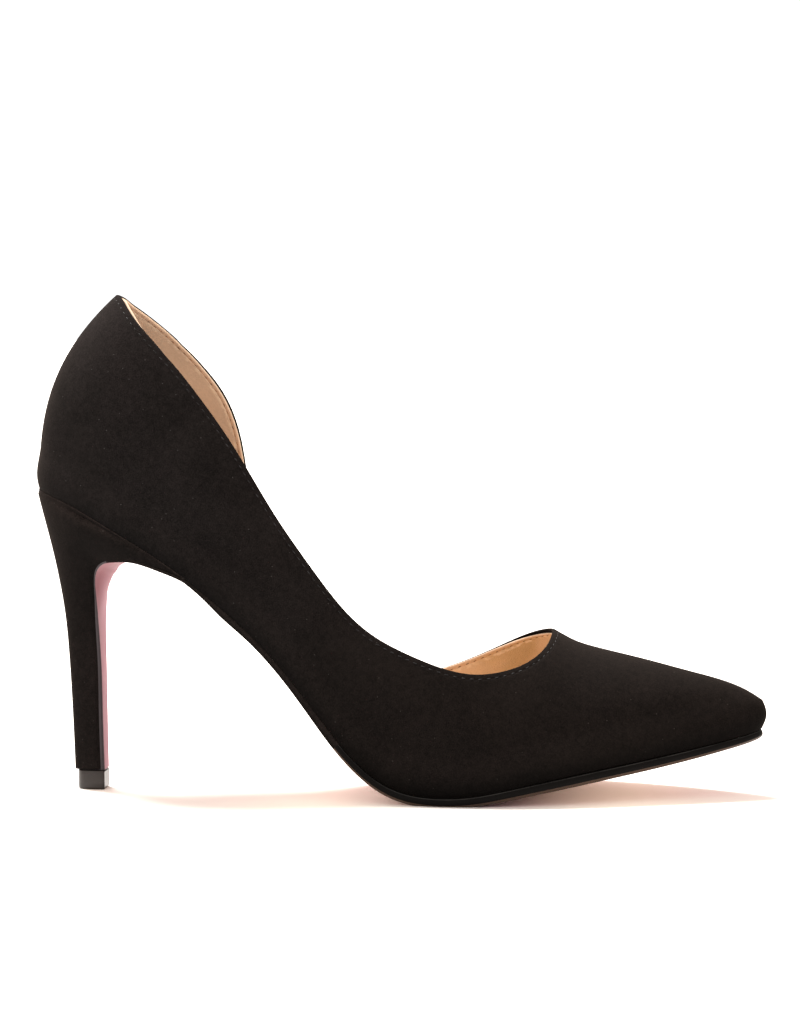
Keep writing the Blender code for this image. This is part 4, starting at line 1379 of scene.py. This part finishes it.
def heel_ring(last, back, front, half=None, slim=0.0):
    """A ring of the heel from its breast to its back. The seat's own outline has no half-width."""
    seat_x = HEEL_FRONT_X * (1.0 - HEEL_ALONG)
    seat_front = last.feather(HEEL_FRONT_X)
    arch = last.feather(seat_x) - (seat_front + (last.feather(0.0) - seat_front) * HEEL_ALONG)
    x = front[0] + (back[0] - front[0]) * HEEL_ALONG
    z = front[1] + (back[1] - front[1]) * HEEL_ALONG + arch * (1.0 - slim) ** 2
    widths = []
    for side in (LATERAL, MEDIAL):
        width = last.half_width(side, seat_x)
        if half is not None:
            front_width = last.half_width(side, HEEL_FRONT_X)
            share = width / front_width
            narrow = front_width / last.half_width(LATERAL, HEEL_FRONT_X)
            turned = share + (stem_share(STEM_FRONT) - share) * slim
            width = half * (narrow + (1.0 - narrow) * slim) * turned
        widths.append(width)
    return two_sides(x, z, *widths)


def ring_outs(ring):
    """The directions out of a ring in plan."""
    along = np.roll(ring, -1, axis=0) - np.roll(ring, 1, axis=0)
    outs = np.stack([-along[:, 1], along[:, 0], np.zeros(len(ring))], axis=1)
    middle = ring.mean(axis=0)
    flip = np.sign(np.sum(outs * (ring - middle), axis=1, keepdims=True))
    return unit(outs * flip)


class PUMP_OT_heel(bpy.types.Operator):
    """Add the suede cover of the heel"""

    bl_idname = "pump.heel"
    bl_label = "Heel"

    def execute(self, context):
        colours = context.scene.pump_colours
        last = Last(context.scene.pump_sizes)
        flap = Flap(last)
        seat = heel_ring(last, *((x, last.feather(x) - GAP) for x in (0.0, HEEL_FRONT_X)))
        rings = [seat + row.out * ring_outs(seat) - (0.0, 0.0, row.lower) for row in SEAT_LIP]
        order = range(len(HEEL_RINGS))
        back_z, breast, half_width, slim = (spline(order, column) for column in zip(*HEEL_RINGS))
        for step in np.linspace(0.0, len(HEEL_RINGS) - 1, HEEL_RING_COUNT):
            place = breast(step)
            ahead_x, ahead_z = flap.ahead(place)
            front = (flap.x(place) - LAYER_GAP * ahead_z, flap.z(place) + LAYER_GAP * ahead_x)
            back = (last.heel_back_x(back_z(step)), back_z(step))
            rings.append(heel_ring(last, back, front, half_width(step), np.clip(slim(step), 0.0, 1.0)))
        count = len(seat)
        faces = capped_faces(len(rings), count)
        finishes = [int(i // count in SEAT_BEAD) for i in range(len(faces))]
        # Painted light: the heel's cover is the suede made 1.38 times lighter, and the bead's strips 2.4
        # times lighter as a painted highlight
        suede = suede_material("black_suede_heel", colours, gain=1.38)
        seat_highlight = suede_material("rubbed_suede", colours, gain=2.4)
        points = np.concatenate(rings)
        add_piece("heel_cover", points, faces, [suede, seat_highlight], "heel", finishes, closed=True)
        return {"FINISHED"}


class PUMP_OT_tip(bpy.types.Operator):
    """Add the hard top piece under the heel"""

    bl_idname = "pump.tip"
    bl_label = "Top piece"

    def execute(self, context):
        rings = []
        for row in TOP_PIECE:
            front = FLAP[-1].x + FLAP[-1].thick - row.inset
            back = HEEL_BACK[0].x + TOP_PIECE_BACK_INSET + row.inset
            width = (HEEL_RINGS[-1].half_width - TOP_PIECE_INSET - row.inset) * stem_share(TIP_FRONT)
            x = front + (back - front) * HEEL_ALONG
            rings.append(two_sides(x, np.full_like(x, row.z), width, width))
        faces = capped_faces(len(rings), len(rings[0]))
        tip = context.scene.pump_colours.tip
        hard = leather_material("hard_tip", tip, roughness=0.32, specular=0.25, scale=600.0, depth=0.012)
        add_piece("heel_tip", np.concatenate(rings), faces, [hard], "top_piece", closed=True)
        return {"FINISHED"}


def aim_at(holder, place, aim):
    holder.location = place
    holder.rotation_euler = (Vector(aim) - Vector(place)).to_track_quat("-Z", "Y").to_euler()


def add_light(name, kind, place, aim, **settings):
    light = bpy.data.lights.new(name, kind)
    for setting, value in settings.items():
        setattr(light, setting, value)
    aim_at(link_object(name, light), place, aim)


def studio_world():
    """Soft warm light from all round, and a white wall where the camera looks past the floor."""
    world = bpy.data.worlds.new("studio")
    world.use_nodes = True
    nodes = Nodes(world.node_tree)
    parts = world.node_tree.nodes
    soft = nodes.fill(parts["Background"], {"Color": (1.0, 0.89, 0.81), "Strength": 0.95})
    wall = nodes.add("ShaderNodeBackground", {"Color": (1.0, 1.0, 1.0), "Strength": 1.2})
    seen = nodes.add("ShaderNodeLightPath").outputs["Is Camera Ray"]
    both = nodes.add("ShaderNodeMixShader", {"Fac": seen, 1: soft, 2: wall})
    nodes.fill(parts["World Output"], {"Surface": both})
    return world


# The floor's painted glow, which stands in for warm bounce light under the shoe and is least where the ball
# of the sole touches it, the fineness of its tone, and the camera's sensor
CONTACT_X = 0.025
BOUNCE_RISE = (0.006, 0.052)
BOUNCE_FALL = (0.045, 0.085)
BOUNCE_FAR = 0.4
FLOOR_SCALE = 30.0
SENSOR_WIDTH = 36.0


def floor_material():
    material, nodes, shader, place = new_material("pale_floor")
    # Painted light: a warm glow in the floor's emission, least where the ball touches the floor, stands in
    # for bounce light in the shadow
    away = nodes.apart(nodes.axis(place, "X"), CONTACT_X)
    rise = nodes.range(away, *BOUNCE_RISE)
    bounce = nodes.math("MULTIPLY", rise, nodes.range(away, *BOUNCE_FALL, 1.0, BOUNCE_FAR))
    nodes.fill(shader, {
        "Base Color": nodes.mix(nodes.noise(place, FLOOR_SCALE), (0.90, 0.89, 0.88), (0.92, 0.91, 0.90)),
        "Roughness": 0.7,
        "Specular IOR Level": 0.2,
        "Emission Color": nodes.mix(bounce, (0.0, 0.0, 0.0), (1.0, 0.82, 0.53)),
        "Emission Strength": 0.36,
    })
    return material


def add_floor(side):
    half = side / 2
    corners = [(-half, -half, 0.0), (half, -half, 0.0), (half, half, 0.0), (-half, half, 0.0)]
    mesh = bpy.data.meshes.new("floor")
    mesh.from_pydata(corners, [], [[0, 1, 2, 3]])
    mesh.materials.append(floor_material())
    floor = link_object("floor", mesh)


class PUMP_OT_stage(bpy.types.Operator):
    """Add the floor, the lights and the camera"""

    bl_idname = "pump.stage"
    bl_label = "Stage"

    def execute(self, context):
        scene = context.scene
        stage = scene.pump_stage
        add_floor(stage.floor_size)
        add_light("key", "SUN", place=(-0.42, 0.50, 1.4), aim=(0.0, 0.0, 0.0), angle=math.radians(24),
                  energy=7.5, color=(1.0, 0.97, 0.94))
        add_light("front", "AREA", place=(-1.4, -1.9, 1.1), aim=(-0.06, 0.0, 0.09), shape="RECTANGLE",
                  size=1.4, size_y=1.2, energy=14.0, color=(1.0, 0.96, 0.92))
        scene.world = studio_world()
        scene.view_settings.view_transform = "Standard"
        camera = bpy.data.cameras.new("camera")
        camera.lens = stage.lens
        camera.sensor_width = SENSOR_WIDTH
        turn = stage.azimuth
        rise = stage.elevation
        back = Vector((math.sin(turn) * math.cos(rise), -math.cos(turn) * math.cos(rise), math.sin(rise)))
        scene.camera = link_object("camera", camera)
        aim_at(scene.camera, Vector(stage.target) + back * stage.distance, stage.target)
        return {"FINISHED"}


PIECES = (
    PUMP_OT_suede, PUMP_OT_lining, PUMP_OT_stitches, PUMP_OT_sock, PUMP_OT_sole, PUMP_OT_heel, PUMP_OT_tip,
    PUMP_OT_stage,
)
GROUPS = {
    "pump_sizes": PumpSizes, "pump_stitches": PumpStitches, "pump_colours": PumpColours,
    "pump_stage": PumpStage,
}


class PUMP_PT_panel(bpy.types.Panel):
    """Lists the pump's settings and pieces"""

    bl_label = "Asymmetric pump"
    bl_space_type = "VIEW_3D"
    bl_region_type = "UI"
    bl_category = "Pump"

    def draw(self, context):
        for group in GROUPS:
            box = self.layout.box()
            settings = getattr(context.scene, group)
            for name in settings.bl_rna.properties.keys():
                if name not in ("rna_type", "name"):
                    box.prop(settings, name)
        for piece in PIECES:
            self.layout.operator(piece.bl_idname)


def register():
    for cls in (*GROUPS.values(), *PIECES, PUMP_PT_panel):
        bpy.utils.register_class(cls)
    for name, group in GROUPS.items():
        setattr(bpy.types.Scene, name, PointerProperty(type=group))


def unregister():
    for name in GROUPS:
        delattr(bpy.types.Scene, name)
    for cls in (PUMP_PT_panel, *PIECES[::-1], *GROUPS.values()):
        bpy.utils.unregister_class(cls)


def main():
    register()
    for piece in PIECES:
        group, name = piece.bl_idname.split(".")
        getattr(getattr(bpy.ops, group), name)()


if __name__ == "__main__":
    main()
